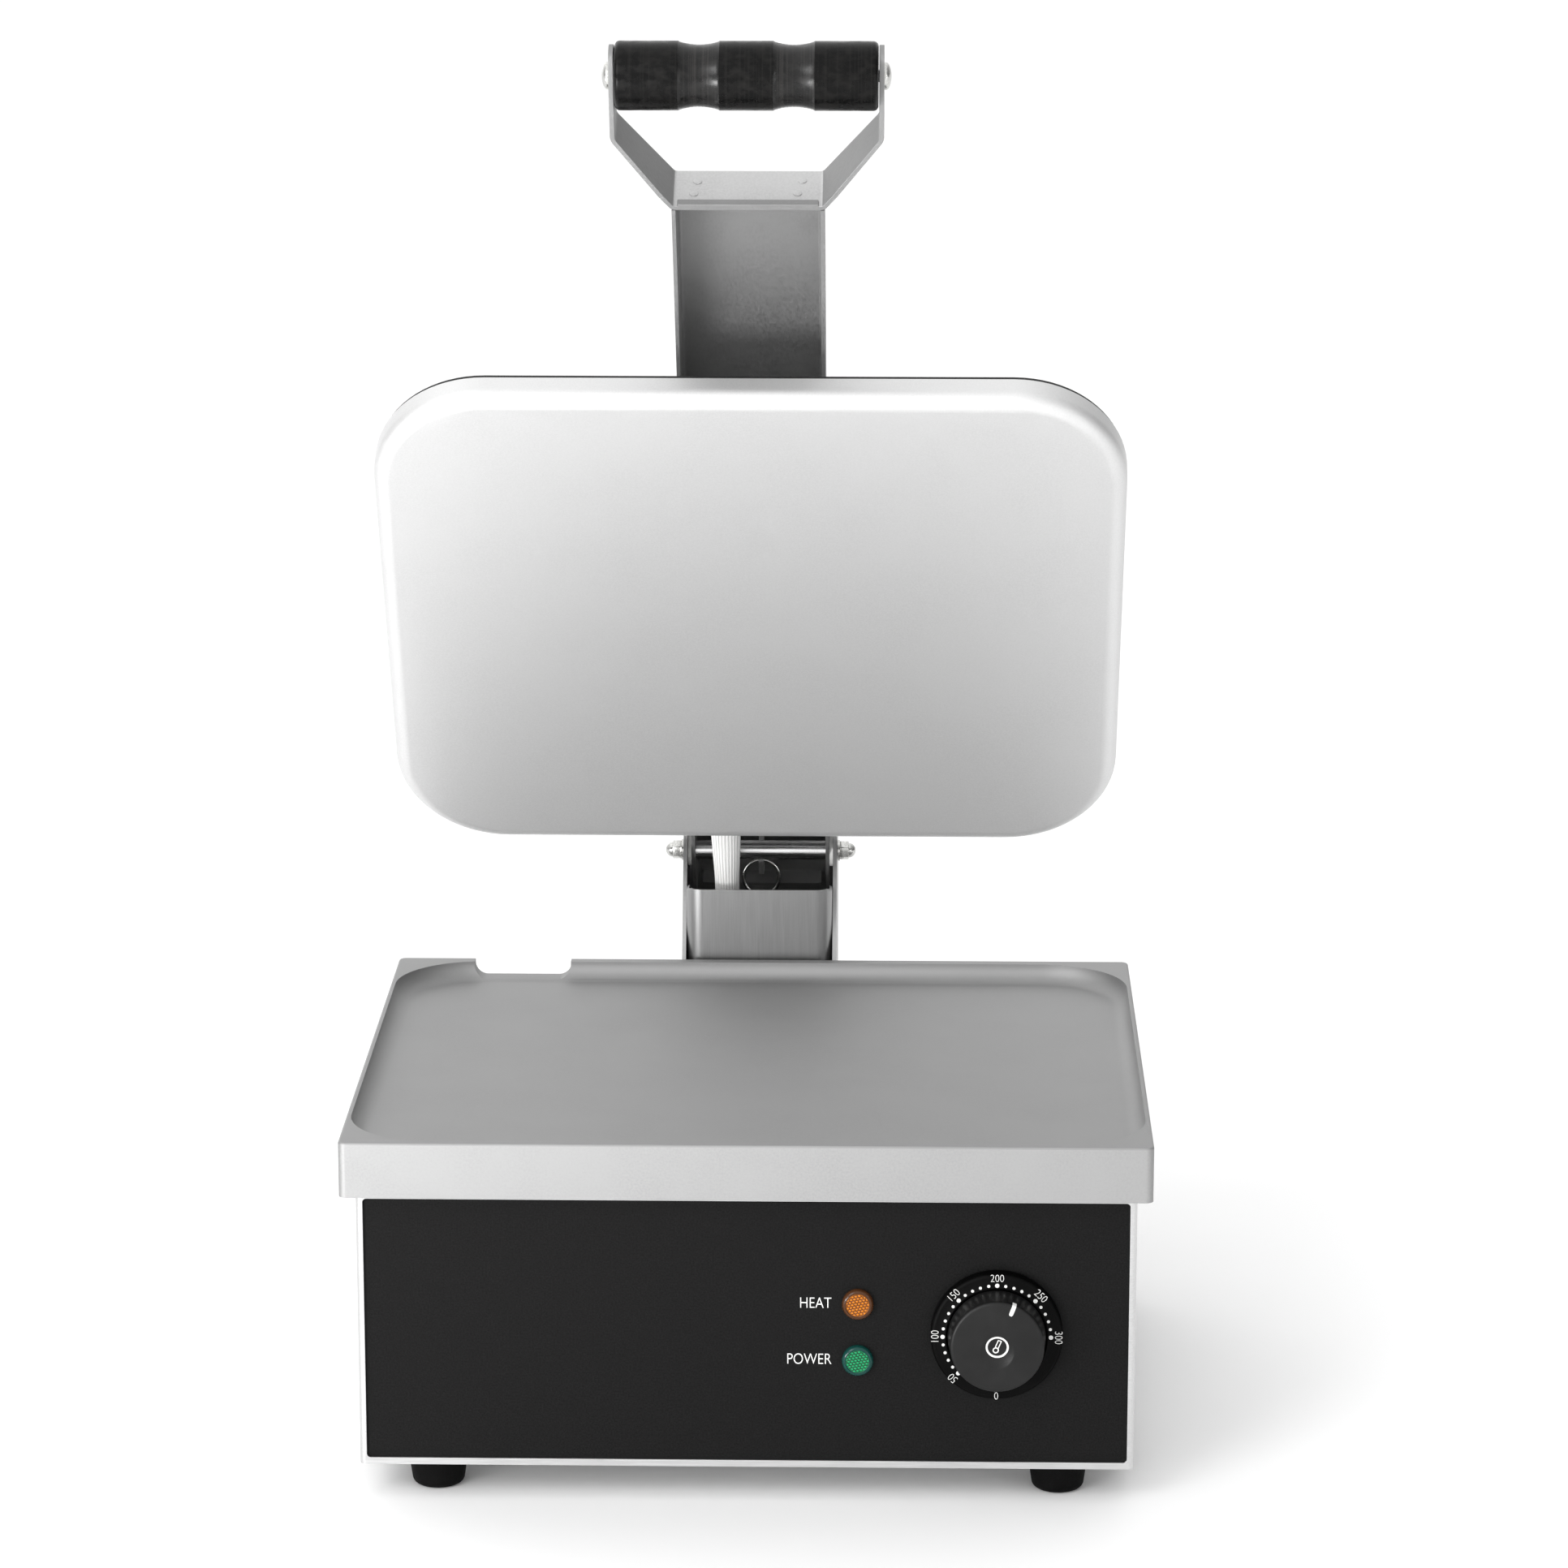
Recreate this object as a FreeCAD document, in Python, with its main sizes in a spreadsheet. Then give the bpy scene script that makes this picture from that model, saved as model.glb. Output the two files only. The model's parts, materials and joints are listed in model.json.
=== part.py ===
"""Panini press: a box base with a cast tray, a counterbalanced lid on a rear hinge and a bar handle.

Everything is modelled about the middle of the tray's front top edge: X to the right, Y to the back,
Z up from the tray's rim. Each sub-part's Placement then moves it to the row frame, whose floor is Z = 0.
Lid pieces are modelled with the lid shut and turned about the hinge to the open rest position.
"""
import FreeCAD, Part
import math
import os
import Sketcher

V = FreeCAD.Vector
os.makedirs("parts", exist_ok=True)
doc = FreeCAD.newDocument("panini_press")

# ---------------------------------------------------------------- driving dimensions
dims = doc.addObject("Spreadsheet::Sheet", "Dims")
DRIVING = {
    # where the modelling origin lies in the row frame
    "rim_height": 193.0, "front_offset": -219.5,
    # tray
    "tray_width": 410.0, "tray_depth": 351.0, "apron_height": 29.0, "tray_wall": 4.0,
    "pan_depth": 10.0, "pan_corner": 47.0, "pan_cove": 9.0, "floor_thickness": 5.0,
    "notch_width": 54.0, "notch_depth": 9.0, "notch_center": -135.0,
    # base box
    "box_width": 395.0, "box_front": 10.0, "box_depth": 333.0, "box_height": 145.2,
    "sheet": 1.5, "frame_width": 3.6, "foot_height": 18.5, "foot_radius": 15.8, "foot_taper": 2.8,
    # control panel
    "knob_x": 127.0, "lamp_x": 56.6, "lamp_pitch": 30.0, "bezel_radius": 33.5, "bezel_thickness": 7.0,
    "knob_radius": 25.0, "knob_reach": 23.0, "pointer_angle": 21.0, "lamp_radius": 8.0,
    # hinge
    "hinge_x": -2.5, "hinge_y": 397.0, "hinge_z": 52.0, "open_angle": 60.0, "rod_radius": 5.5,
    "column_width": 87.0, "column_sheet": 2.2, "cover_width": 82.0, "running_gap": 0.05,
    # lid
    "arm_width": 78.0, "arm_height": 30.0, "arm_sheet": 2.0, "arm_bottom": 44.0,
    "arm_front": -66.0, "arm_tail": 435.0,
    "plate_width": 394.0, "plate_depth": 318.0, "plate_front": 18.4, "plate_face": -4.2,
    "plate_thickness": 16.6, "plate_corner": 60.0, "plate_round": 8.5,
    "cover_inset": 20.0, "cover_height": 16.4, "gasket_inset": 1.0,
    "gasket_thickness": 3.0, "tilt_y": 177.4, "tilt_z": 57.0, "tilt_radius": 5.0,
    # handle
    "grip_y": -136.0, "grip_z": 64.0, "grip_length": 133.0, "grip_radius": 17.5, "strap_sheet": 2.5,
    "strap_reach": 38.0, "hem_height": 4.5,
    # sleeve and spring
    "sleeve_x": -21.0, "sleeve_radius": 7.6, "spring_radius": 11.5, "spring_wire": 2.4,
}
for row, (alias, number) in enumerate(DRIVING.items(), start=1):
    dims.set(f"A{row}", alias)
    dims.set(f"B{row}", str(number))
    dims.setAlias(f"B{row}", alias)
doc.recompute()


def size(alias):
    """The number in one named cell."""
    return float(getattr(dims, alias))


tray_width, tray_depth, apron = size("tray_width"), size("tray_depth"), size("apron_height")
box_half = size("box_width") / 2
box_front, box_rear = size("box_front"), size("box_front") + size("box_depth")
box_top = -apron - 0.3
box_bottom = box_top - size("box_height")
sheet = size("sheet")
hinge_x, hinge_y, hinge_z = size("hinge_x"), size("hinge_y"), size("hinge_z")
to_row = V(0, size("front_offset"), size("rim_height"))


# ---------------------------------------------------------------- helpers
def round_loop(points, radii, closed=True):
    """Lines through the 3-D points, with each corner rounded by its radius (0 leaves it sharp)."""
    count = len(points)
    if isinstance(radii, (int, float)):
        radii = [radii] * count
    corners = []
    for index, (corner, radius) in enumerate(zip(points, radii)):
        end_point = not closed and index in (0, count - 1)
        if radius == 0 or end_point:
            corners.append((corner, None, corner))
            continue
        back = (points[index - 1] - corner).normalize()
        ahead = (points[(index + 1) % count] - corner).normalize()
        half = back.getAngle(ahead) / 2
        reach = radius / math.tan(half)
        middle = corner + (back + ahead).normalize() * (radius / math.sin(half) - radius)
        corners.append((corner + back * reach, middle, corner + ahead * reach))
    edges = []
    for index, (start, middle, end) in enumerate(corners):
        if middle is not None:
            edges.append(Part.Arc(start, middle, end))
        if closed or index < count - 1:
            following = corners[(index + 1) % count][0]
            if end.distanceToPoint(following) > 1e-6:
                edges.append(Part.LineSegment(end, following))
    return edges


def loop(points, radii=0):
    """A closed outline in a sketch's own plane."""
    return round_loop([V(x, y, 0) for x, y in points], radii)


def rectangle(left, low, right, high, radius=0):
    return loop([(left, low), (right, low), (right, high), (left, high)], radius)


def circle(x, y, radius):
    return [Part.Circle(V(x, y, 0), V(0, 0, 1), radius)]


def hexagon(x, y, across_flats, turn=0):
    reach = across_flats / math.sqrt(3)
    angles = [math.radians(turn + 60 * step) for step in range(6)]
    return loop([(x + reach * math.cos(a), y + reach * math.sin(a)) for a in angles])


def bind(thing, path, value):
    """Set a property to a number, or tie it to the sheet where the value is an expression."""
    if isinstance(value, str):
        thing.setExpression(path, value)
    else:
        setattr(thing, path, value)


parts = {}          # node name -> finished document object


def new_body(name):
    body = doc.addObject("PartDesign::Body", name)
    parts[name] = body
    return body


def sketch_on(body, plane, loops, offset=0.0):
    """A sketch on one of the body's own origin planes, lifted along the plane's normal by the offset.
    XY faces +Z; XZ faces -Y with X and Z in the plane; YZ faces +X with Y and Z in the plane."""
    sketch = body.newObject("Sketcher::SketchObject", f"{body.Name}_outline")
    origin_plane = next(f for f in body.Origin.OriginFeatures if f.Role == plane + "_Plane")
    sketch.AttachmentSupport = [(origin_plane, "")]
    sketch.MapMode = "FlatFace"
    bind(sketch, "AttachmentOffset", FreeCAD.Placement(V(0, 0, offset), FreeCAD.Rotation()))
    for outline in loops:
        sketch.addGeometry(outline, False)
    return sketch


def pad(body, plane, loops, offset, length):
    feature = body.newObject("PartDesign::Pad", f"{body.Name}_pad")
    feature.Profile = sketch_on(body, plane, loops, offset)
    bind(feature, "Length", length)
    doc.recompute()
    return feature


def pocket(body, plane, loops, offset, length, along_normal=False):
    """Cut from the sketch against its plane's normal, or along it; the cut must take material away."""
    before = body.Shape.Volume
    feature = body.newObject("PartDesign::Pocket", f"{body.Name}_pocket")
    feature.Profile = sketch_on(body, plane, loops, offset)
    bind(feature, "Length", length)
    feature.Reversed = along_normal
    doc.recompute()
    if body.Shape.Volume > before - 0.5:
        raise RuntimeError(f"{feature.Name} cut nothing from {body.Name}")
    return feature


def round_edges(body, radius, chosen):
    """Fillet the edges of the body's tip that the test picks by their middle point."""
    base = body.Tip
    picked = []
    for number, edge in enumerate(base.Shape.Edges, start=1):
        middle = edge.valueAt((edge.FirstParameter + edge.LastParameter) / 2)
        if chosen(middle, edge):
            picked.append(f"Edge{number}")
    feature = body.newObject("PartDesign::Fillet", f"{body.Name}_rounding")
    feature.Base = (base, picked)
    bind(feature, "Radius", radius)
    doc.recompute()
    return feature


def solid(name, shape):
    """A sub-part whose shape neither a sketch nor a primitive gives."""
    feature = doc.addObject("Part::Feature", name)
    feature.Shape = shape
    parts[name] = feature
    return feature


def cylinder(x, y, z, radius, length, direction):
    return Part.makeCylinder(radius, length, V(x, y, z), V(*direction))


def tube_along(points, radii, radius):
    """A round bar swept along straight runs joined by tangent arcs."""
    wire = Part.Wire([edge.toShape() for edge in round_loop(points, radii, closed=False)])
    start = wire.Edges[0]
    profile = Part.Wire(Part.makeCircle(radius, start.valueAt(start.FirstParameter),
                                        start.tangentAt(start.FirstParameter)))
    bar = wire.makePipeShell([profile], True, False)
    expected = math.pi * radius ** 2 * wire.Length
    if abs(bar.Volume - expected) > 0.02 * expected:
        raise RuntimeError(f"the swept bar has volume {bar.Volume:.0f}, expected {expected:.0f}")
    return bar


def row_arcs(points):
    """Each corner's largest tangent arc: 0.45 of its shorter run over the tangent of half the turn."""
    radii = [0.0]
    for before, corner, after in zip(points, points[1:], points[2:]):
        turn = (corner - before).getAngle(after - corner)
        shorter = min((corner - before).Length, (after - corner).Length)
        radii.append(0.45 * shorter / math.tan(turn / 2))
    return radii + [0.0]


# ---------------------------------------------------------------- tray and its heater
screw_spots = [(x, y) for x in (-165, 165) for y in (35, 316)]


def build_tray():
    body = new_body("lower_tray")
    half, wall, depth = tray_width / 2, size("tray_wall"), size("pan_depth")
    pad(body, "XY", [rectangle(-half, 0, half, tray_depth, 4)], -apron, "Dims.apron_height")
    under_floor = -depth - size("floor_thickness")
    islands = [circle(x, y, 7) for x, y in screw_spots]
    hollow = rectangle(-half + wall, wall, half - wall, tray_depth - wall, 6)
    pocket(body, "XY", [hollow] + islands, -apron, apron + under_floor, along_normal=True)
    pocket(body, "XY", [circle(x, y, 2.6) for x, y in screw_spots], -apron, 10, along_normal=True)
    pan = rectangle(-half + 2.5, 2.2, half - 2.5, tray_depth - 7, size("pan_corner"))
    pocket(body, "XY", [pan], 0, "Dims.pan_depth")
    round_edges(body, "Dims.pan_cove",
                lambda p, e: abs(p.z + depth) < 0.01 and 2 < p.y < tray_depth - 6 and abs(p.x) < half - 2)
    left = size("notch_center") - size("notch_width") / 2
    right = size("notch_center") + size("notch_width") / 2
    floor = -size("notch_depth")
    notch = loop([(left, floor), (right, floor), (right, 1), (left, 1)], [7, 7, 0, 0])
    pocket(body, "XZ", [notch], -(tray_depth - 13), 20)
    round_edges(body, 1.2, lambda p, e: abs(p.z) < 0.01 and abs(p.y) < 0.01)


def build_tray_heater():
    runs = [(-150, 325), (-150, 45), (-50, 45), (-50, 300), (50, 300), (50, 45), (150, 45), (150, 325)]
    centre_z = -size("pan_depth") - size("floor_thickness") - 3.6
    path = [V(x, y, centre_z) for x, y in runs]
    solid("lower_heating_element", tube_along(path, [0] + [49] * 6 + [0], 3.5))
    clamps = new_body("element_clamps")
    bars = [rectangle(-168, y, 168, y + 18, 3) for y in (115, 232)]
    pad(clamps, "XY", bars, centre_z - 5.1, "Dims.sheet")
    insulation = new_body("lower_insulation")
    slab = rectangle(-150, 20, 150, 331, 5)
    pad(insulation, "XY", [slab, circle(100, 150, 4), circle(-75, 318, 8)], -apron, 4.9)
    bulb = cylinder(100, 200, centre_z, 3, 30, (0, 1, 0))
    solid("thermostat_bulb", bulb)


def build_tray_screws():
    shank = [cylinder(x, y, box_top - 4, 2.5, 13, (0, 0, 1)) for x, y in screw_spots]
    heads = [cylinder(x, y, box_top - sheet - 4.2, 5, 4.1, (0, 0, 1)) for x, y in screw_spots]
    solid("tray_screws", Part.makeCompound([a.fuse(b).removeSplitter() for a, b in zip(shank, heads)]))


# ---------------------------------------------------------------- base box
bolt_spots = [(hinge_x + x, z) for x in (-30, 30) for z in (-62, -108)]
foot_spots = [(x, y) for x in (-159.5, 159.5) for y in (36, 317)]
gland_x, gland_z = -140, -140


def build_housing():
    body = new_body("base_housing")
    pad(body, "XY", [rectangle(-box_half, box_front, box_half, box_rear, 3)], box_bottom, "Dims.box_height")
    inside = rectangle(-box_half + sheet, box_front + sheet, box_half - sheet, box_rear - sheet, 1.5)
    pocket(body, "XY", [inside], box_bottom, "Dims.box_height - Dims.sheet", along_normal=True)
    edge = size("frame_width")
    window = rectangle(-box_half + edge, box_bottom + edge, box_half - edge, box_top - edge + 0.4, 2)
    pocket(body, "XZ", [window], -box_front + 1, 1 + sheet + 0.5)
    holes = [circle(x, y, 3.2) for x, y in screw_spots]
    pocket(body, "XY", holes + [circle(100, 150, 4), circle(-75, 318, 8)], box_top + 1, 4)
    rear_holes = [circle(x, z, 2.8) for x, z in bolt_spots] + [circle(gland_x, gland_z, 8.1)]
    pocket(body, "XZ", rear_holes + [circle(hinge_x - 22, -85, 9)], -box_rear - 1, 4, along_normal=True)


def build_bottom_plate():
    body = new_body("bottom_plate")
    inside = box_half - sheet - 0.2
    pad(body, "XY", [rectangle(-inside, 13.5, inside, box_rear - sheet - 0.2, 1)], box_bottom, "Dims.sheet")
    pocket(body, "XY", [circle(x, y, 2.6) for x, y in foot_spots], box_bottom + 3, 6)
    slot = pocket(body, "XY", [rectangle(-105, 120, -45, 125, 2.4)], box_bottom + 3, 6)
    rows = body.newObject("PartDesign::LinearPattern", "vent_slots")
    rows.Originals = [slot]
    y_axis = next(f for f in body.Origin.OriginFeatures if f.Role == "Y_Axis")
    rows.Direction = (y_axis, [""])
    rows.Length = 98.0
    rows.Occurrences = 8
    body.Tip = rows
    doc.recompute()


def build_fascia():
    body = new_body("front_fascia")
    inside = box_half - sheet - 1.4
    outline = rectangle(-inside, box_bottom + 1.7, inside, box_top - sheet - 0.2, 1)
    holes = [circle(size("knob_x"), panel_mid, 5.2)]
    holes += [circle(size("lamp_x"), panel_mid + z, 6.2) for z in lamp_heights]
    pad(body, "XZ", [outline] + holes, -(panel_face + sheet), "Dims.sheet")


panel_face = box_front + sheet + 0.1
panel_mid = (box_top + box_bottom) / 2
lamp_heights = [size("lamp_pitch") / 2, -size("lamp_pitch") / 2]


def build_feet():
    height, radius = size("foot_height"), size("foot_radius")
    body = new_body("rubber_feet")
    for number, (x, y) in enumerate(foot_spots):
        feature = body.newObject("PartDesign::AdditiveCone", f"foot_{number}")
        feature.Radius1 = radius - size("foot_taper")
        bind(feature, "Radius2", "Dims.foot_radius")
        bind(feature, "Height", "Dims.foot_height")
        feature.Placement.Base = V(x, y, box_bottom - height)
        body.AllowCompound = True
    doc.recompute()
    round_edges(body, 3.5, lambda p, e: abs(p.z - box_bottom + height) < 0.01)
    recess = [circle(x, y, 6) for x, y in foot_spots]
    pocket(body, "XY", recess, box_bottom - height, 9, along_normal=True)
    pocket(body, "XY", [circle(x, y, 2.6) for x, y in foot_spots], box_bottom + 1, height + 2)
    screws = []
    for x, y in foot_spots:
        head = cylinder(x, y, box_bottom - height + 5, 4.6, 4, (0, 0, 1))
        shank = cylinder(x, y, box_bottom - height + 8, 2.4, height, (0, 0, 1))
        screws.append(head.fuse(shank).removeSplitter())
    solid("foot_screws", Part.makeCompound(screws))


# ---------------------------------------------------------------- controls
def turned_about_y(points, x, z, radii=0):
    """A solid of revolution about a line along Y: the outline's points are (radius, Y)."""
    edges = round_loop([V(x + r, y, z) for r, y in points], radii)
    face = Part.Face(Part.Wire([edge.toShape() for edge in edges]))
    return face.revolve(V(x, 0, z), V(0, 1, 0), 360)


def build_controls():
    knob_x, reach = size("knob_x"), size("knob_reach")
    thick = size("bezel_thickness")
    outline = [(5.5, panel_face), (size("bezel_radius"), panel_face),
               (size("bezel_radius"), panel_face - thick), (5.5, panel_face - thick)]
    solid("dial_bezel", turned_about_y(outline, knob_x, panel_mid, [0, 0, 2.2, 0]))
    back, front = panel_face - thick - 0.3, panel_face - reach
    outer = size("knob_radius")
    outline = [(3.06, back), (outer, back), (outer - 2, front), (0, front), (0, front + 5), (3.06, front + 5)]
    knob = turned_about_y(outline, knob_x, panel_mid, [0, 1, 2.4, 0, 0, 0])
    mark = Part.makeBox(2.2, 3.0, 8.0, V(-1.1, front - 0.35, 17.2))
    mark = mark.common(cylinder(0, front - 1, 0, outer - 1.9, 6, (0, 1, 0)))
    mark.rotate(V(0, 0, 0), V(0, 1, 0), size("pointer_angle"))
    mark.translate(V(knob_x, 0, panel_mid))
    solid("control_knob", knob.cut(mark))
    solid("knob_pointer", mark)
    spindle = cylinder(knob_x, front + 5.2, panel_mid, 3, 40, (0, 1, 0))
    solid("thermostat_spindle", spindle)


def build_thermostat():
    knob_x = size("knob_x")
    can = Part.makeBox(38, 26, 36, V(knob_x - 19, panel_face + sheet + 0.2, panel_mid - 18))
    can = can.makeFillet(2, can.Edges)
    neck = cylinder(knob_x, panel_face - 4, panel_mid, 5, 8, (0, 1, 0))
    bore = cylinder(knob_x, panel_face - 10, panel_mid, 3.06, 45, (0, 1, 0))
    tabs = [Part.makeBox(6.3, 9, 0.8, V(knob_x - 15 + 12 * step, panel_face + sheet + 26, panel_mid - 8))
            for step in range(3)]
    body = can.fuse([neck] + tabs).cut(bore).removeSplitter()
    solid("thermostat", body)
    centre_z = -size("pan_depth") - size("floor_thickness") - 3.6
    route = [V(100, 199.9, centre_z), V(100, 150, centre_z), V(100, 150, -70), V(127, 80, -84),
             V(knob_x, panel_face + 27.8, -84)]
    solid("thermostat_capillary", tube_along(route, [0, 5, 12, 12, 0], 1.0))


def build_lamp(name, height):
    x, z = size("lamp_x"), panel_mid + height
    rim = size("lamp_radius")
    outline = [(0, panel_face - 0.1), (rim, panel_face - 0.1), (rim, panel_face - 2.4),
               (rim - 2, panel_face - 3.6), (0, panel_face - 3.6)]
    lens = turned_about_y(outline, x, z, [0, 0, 1, 0, 0])
    solid(f"{name}_lamp_lens", lens)
    holder = cylinder(x, panel_face, z, 6.0, 22, (0, 1, 0))
    collar = cylinder(x, panel_face + sheet + 0.1, z, 8.5, 3, (0, 1, 0))
    blades = [Part.makeBox(0.8, 8, 6.3, V(x - 3.4 + 6 * side, panel_face + 21, z - 3.15))
              for side in (0, 1)]
    solid(f"{name}_lamp_holder", holder.fuse([collar] + blades).removeSplitter())


# ---------------------------------------------------------------- mains entry
def build_mains_entry():
    body = new_body("terminal_block")
    x, y, z = -120, 250, box_bottom + sheet
    pad(body, "XY", [rectangle(x, y, x + 64, y + 24, 2)], z, 14)
    pad(body, "XY", [rectangle(x, y + 6, x + 64, y + 18, 2)], z + 14, 6)
    pocket(body, "XY", [circle(x + 12 + 20 * step, y + 12, 3.6) for step in range(3)], z + 20, 8)
    gland = Part.Face(Part.Wire([e.toShape() for e in hexagon(0, 0, 22)])).extrude(V(0, 0, 6))
    gland = gland.fuse([cylinder(0, 0, 6, 9.5, 12, (0, 0, 1)), cylinder(0, 0, -12, 7.9, 13, (0, 0, 1))])
    gland = gland.removeSplitter().cut(cylinder(0, 0, -20, 4.4, 50, (0, 0, 1)))
    dome = [e for e in gland.Edges if abs(e.CenterOfMass.z - 18) < 0.1 and e.Length > 50]
    gland = gland.makeFillet(3, dome)
    gland.rotate(V(0, 0, 0), V(1, 0, 0), -90)
    gland.translate(V(gland_x, box_rear + 0.1, gland_z))
    solid("cable_gland", gland)
    nut = Part.Face(Part.Wire([e.toShape() for e in hexagon(0, 0, 22)])).extrude(V(0, 0, 5))
    nut = nut.cut(cylinder(0, 0, -1, 8.0, 8, (0, 0, 1)))
    nut.rotate(V(0, 0, 0), V(1, 0, 0), -90)
    nut.translate(V(gland_x, box_rear - sheet - 5.2, gland_z))
    solid("gland_nut", nut)


# ---------------------------------------------------------------- hinge column
spring_y, anchor_z = 411.0, -78.0       # the spring hangs in this plane; its anchor screw crosses it


def build_column():
    body = new_body("hinge_column")
    wide, wall = size("column_width"), size("column_sheet")
    around = 14.0
    lift = hinge_z + around
    side = loop([(box_rear + 0.3, -130), (405, -130), (446, -88), (446, 30), (418, lift), (388, lift),
                 (359.5, 4), (354, -6), (354, -32), (box_rear + 0.3, -32)],
                [0, 6, 12, 8, 13, 11, 4, 3, 0, 0])
    pad(body, "YZ", [side], hinge_x - wide / 2, "Dims.column_width")
    clear = wide / 2 - wall
    trough = loop([(300, -127.8), (404, -127.8), (446 - wall, -87), (446 - wall, 34), (446, 34), (470, 34),
                   (470, 90), (300, 90)], 0)
    pocket(body, "YZ", [trough], hinge_x - clear, 2 * clear, along_normal=True)
    for side_sign in (-1, 1):
        inner = hinge_x + side_sign * clear
        edge = inner - side_sign * 22
        flange = rectangle(min(inner, edge), -125, max(inner, edge), -40, 1)
        pad(body, "XZ", [flange], -(box_rear + 0.3 + wall), wall)
    pocket(body, "XZ", [circle(x, z, 2.8) for x, z in bolt_spots], -(box_rear - 1), 6)
    rod_hole = circle(hinge_y, hinge_z, size("rod_radius") + 0.02)
    pocket(body, "YZ", [rod_hole], hinge_x - wide, 2 * wide, along_normal=True)
    pocket(body, "XZ", [circle(hinge_x, anchor_z, 3.02)], -440, 10)
    bolts = []
    for x, z in bolt_spots:
        shank = cylinder(x, box_rear - 8, z, 2.5, 16, (0, 1, 0))
        head = cylinder(x, box_rear - sheet - 3.6, z, 4.6, 3.5, (0, 1, 0))
        nut = cylinder(x, box_rear + wall + 0.4, z, 4.6, 4, (0, 1, 0))
        bolts.append(shank.fuse([head, nut]).removeSplitter())
    solid("column_bolts", Part.makeCompound(bolts))


def build_column_cover():
    body = new_body("column_cover")
    half = size("cover_width") / 2
    front, back, bend = 356.0, 372.0, 9.0
    left, right = hinge_x - half, hinge_x + half
    outer = [(left, back), (left, front), (right, front), (right, back)]
    inner = [(x - sheet if x > hinge_x else x + sheet, y if y == back else y + sheet) for x, y in outer]
    outline = loop(outer + inner[::-1], [0, bend, bend, 0, 0, bend - sheet, bend - sheet, 0])
    pad(body, "XY", [outline], -28, 67)
    for sign in (-1, 1):
        tip = hinge_x + sign * (half + 1)
        clip = loop([(tip, 36.4), (tip, 40), (tip - sign * 5.5, 40)])
        pocket(body, "XZ", [clip], -(front - 1), 20)


def build_hinge_pins():
    reach, rod = size("column_width") / 2, size("rod_radius")
    core = cylinder(hinge_x - reach - 0.1, hinge_y, hinge_z, rod, 2 * reach + 0.2, (1, 0, 0))
    stud = cylinder(hinge_x - reach - 8, hinge_y, hinge_z, 2.9, 2 * reach + 16, (1, 0, 0))
    solid("hinge_rod", core.fuse(stud).removeSplitter())
    nuts = []
    for sign in (-1, 1):
        hexagonal = Part.Face(Part.Wire([e.toShape() for e in hexagon(0, 0, 10, 30)])).extrude(V(0, 0, 5))
        dome = Part.makeSphere(4.5, V(0, 0, 5)).common(cylinder(0, 0, 5, 6, 6, (0, 0, 1)))
        washer = cylinder(0, 0, -1.2, 6.2, 1.2, (0, 0, 1))
        nut = hexagonal.fuse([dome, washer]).removeSplitter()
        nut = nut.cut(cylinder(0, 0, -3, 2.9, 10.9, (0, 0, 1)))
        nut.rotate(V(0, 0, 0), V(0, 1, 0), 90 * sign)
        nut.translate(V(hinge_x + sign * (reach + 1.4), hinge_y, hinge_z))
        nuts.append(nut)
    solid("hinge_cap_nuts", Part.makeCompound(nuts))
    inner = reach - size("column_sheet")
    gap = inner - size("arm_width") / 2
    rings = []
    for sign in (-1, 1):
        start = hinge_x + (inner - gap + 0.2 if sign > 0 else -inner + 0.1)
        ring = cylinder(start, hinge_y, hinge_z, 9, gap - 0.3, (1, 0, 0))
        rings.append(ring.cut(cylinder(start - 1, hinge_y, hinge_z, rod + 0.02, gap + 2, (1, 0, 0))))
    solid("hinge_washers", Part.makeCompound(rings))
    anchor = cylinder(hinge_x, spring_y - 6, anchor_z, 3, 46, (0, 1, 0))
    anchor_head = cylinder(hinge_x, spring_y - 8, anchor_z, 4.8, 2, (0, 1, 0))
    anchor_nut = cylinder(hinge_x, 446.2, anchor_z, 5.4, 4.5, (0, 1, 0))
    solid("spring_anchor", anchor.fuse([anchor_head, anchor_nut]).removeSplitter())


# ---------------------------------------------------------------- lid, modelled shut
def lid_point(y, z):
    """Where a point of the shut lid lies at rest, with the lid open."""
    turn = math.radians(size("open_angle"))
    out, up = y - hinge_y, z - hinge_z
    return V(0, hinge_y + out * math.cos(turn) + up * math.sin(turn),
             hinge_z - out * math.sin(turn) + up * math.cos(turn))


tab_eye_y, tab_eye_z = 412.0, 59.5
arm_half = size("arm_width") / 2
arm_low, arm_high = size("arm_bottom"), size("arm_bottom") + size("arm_height")


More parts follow.
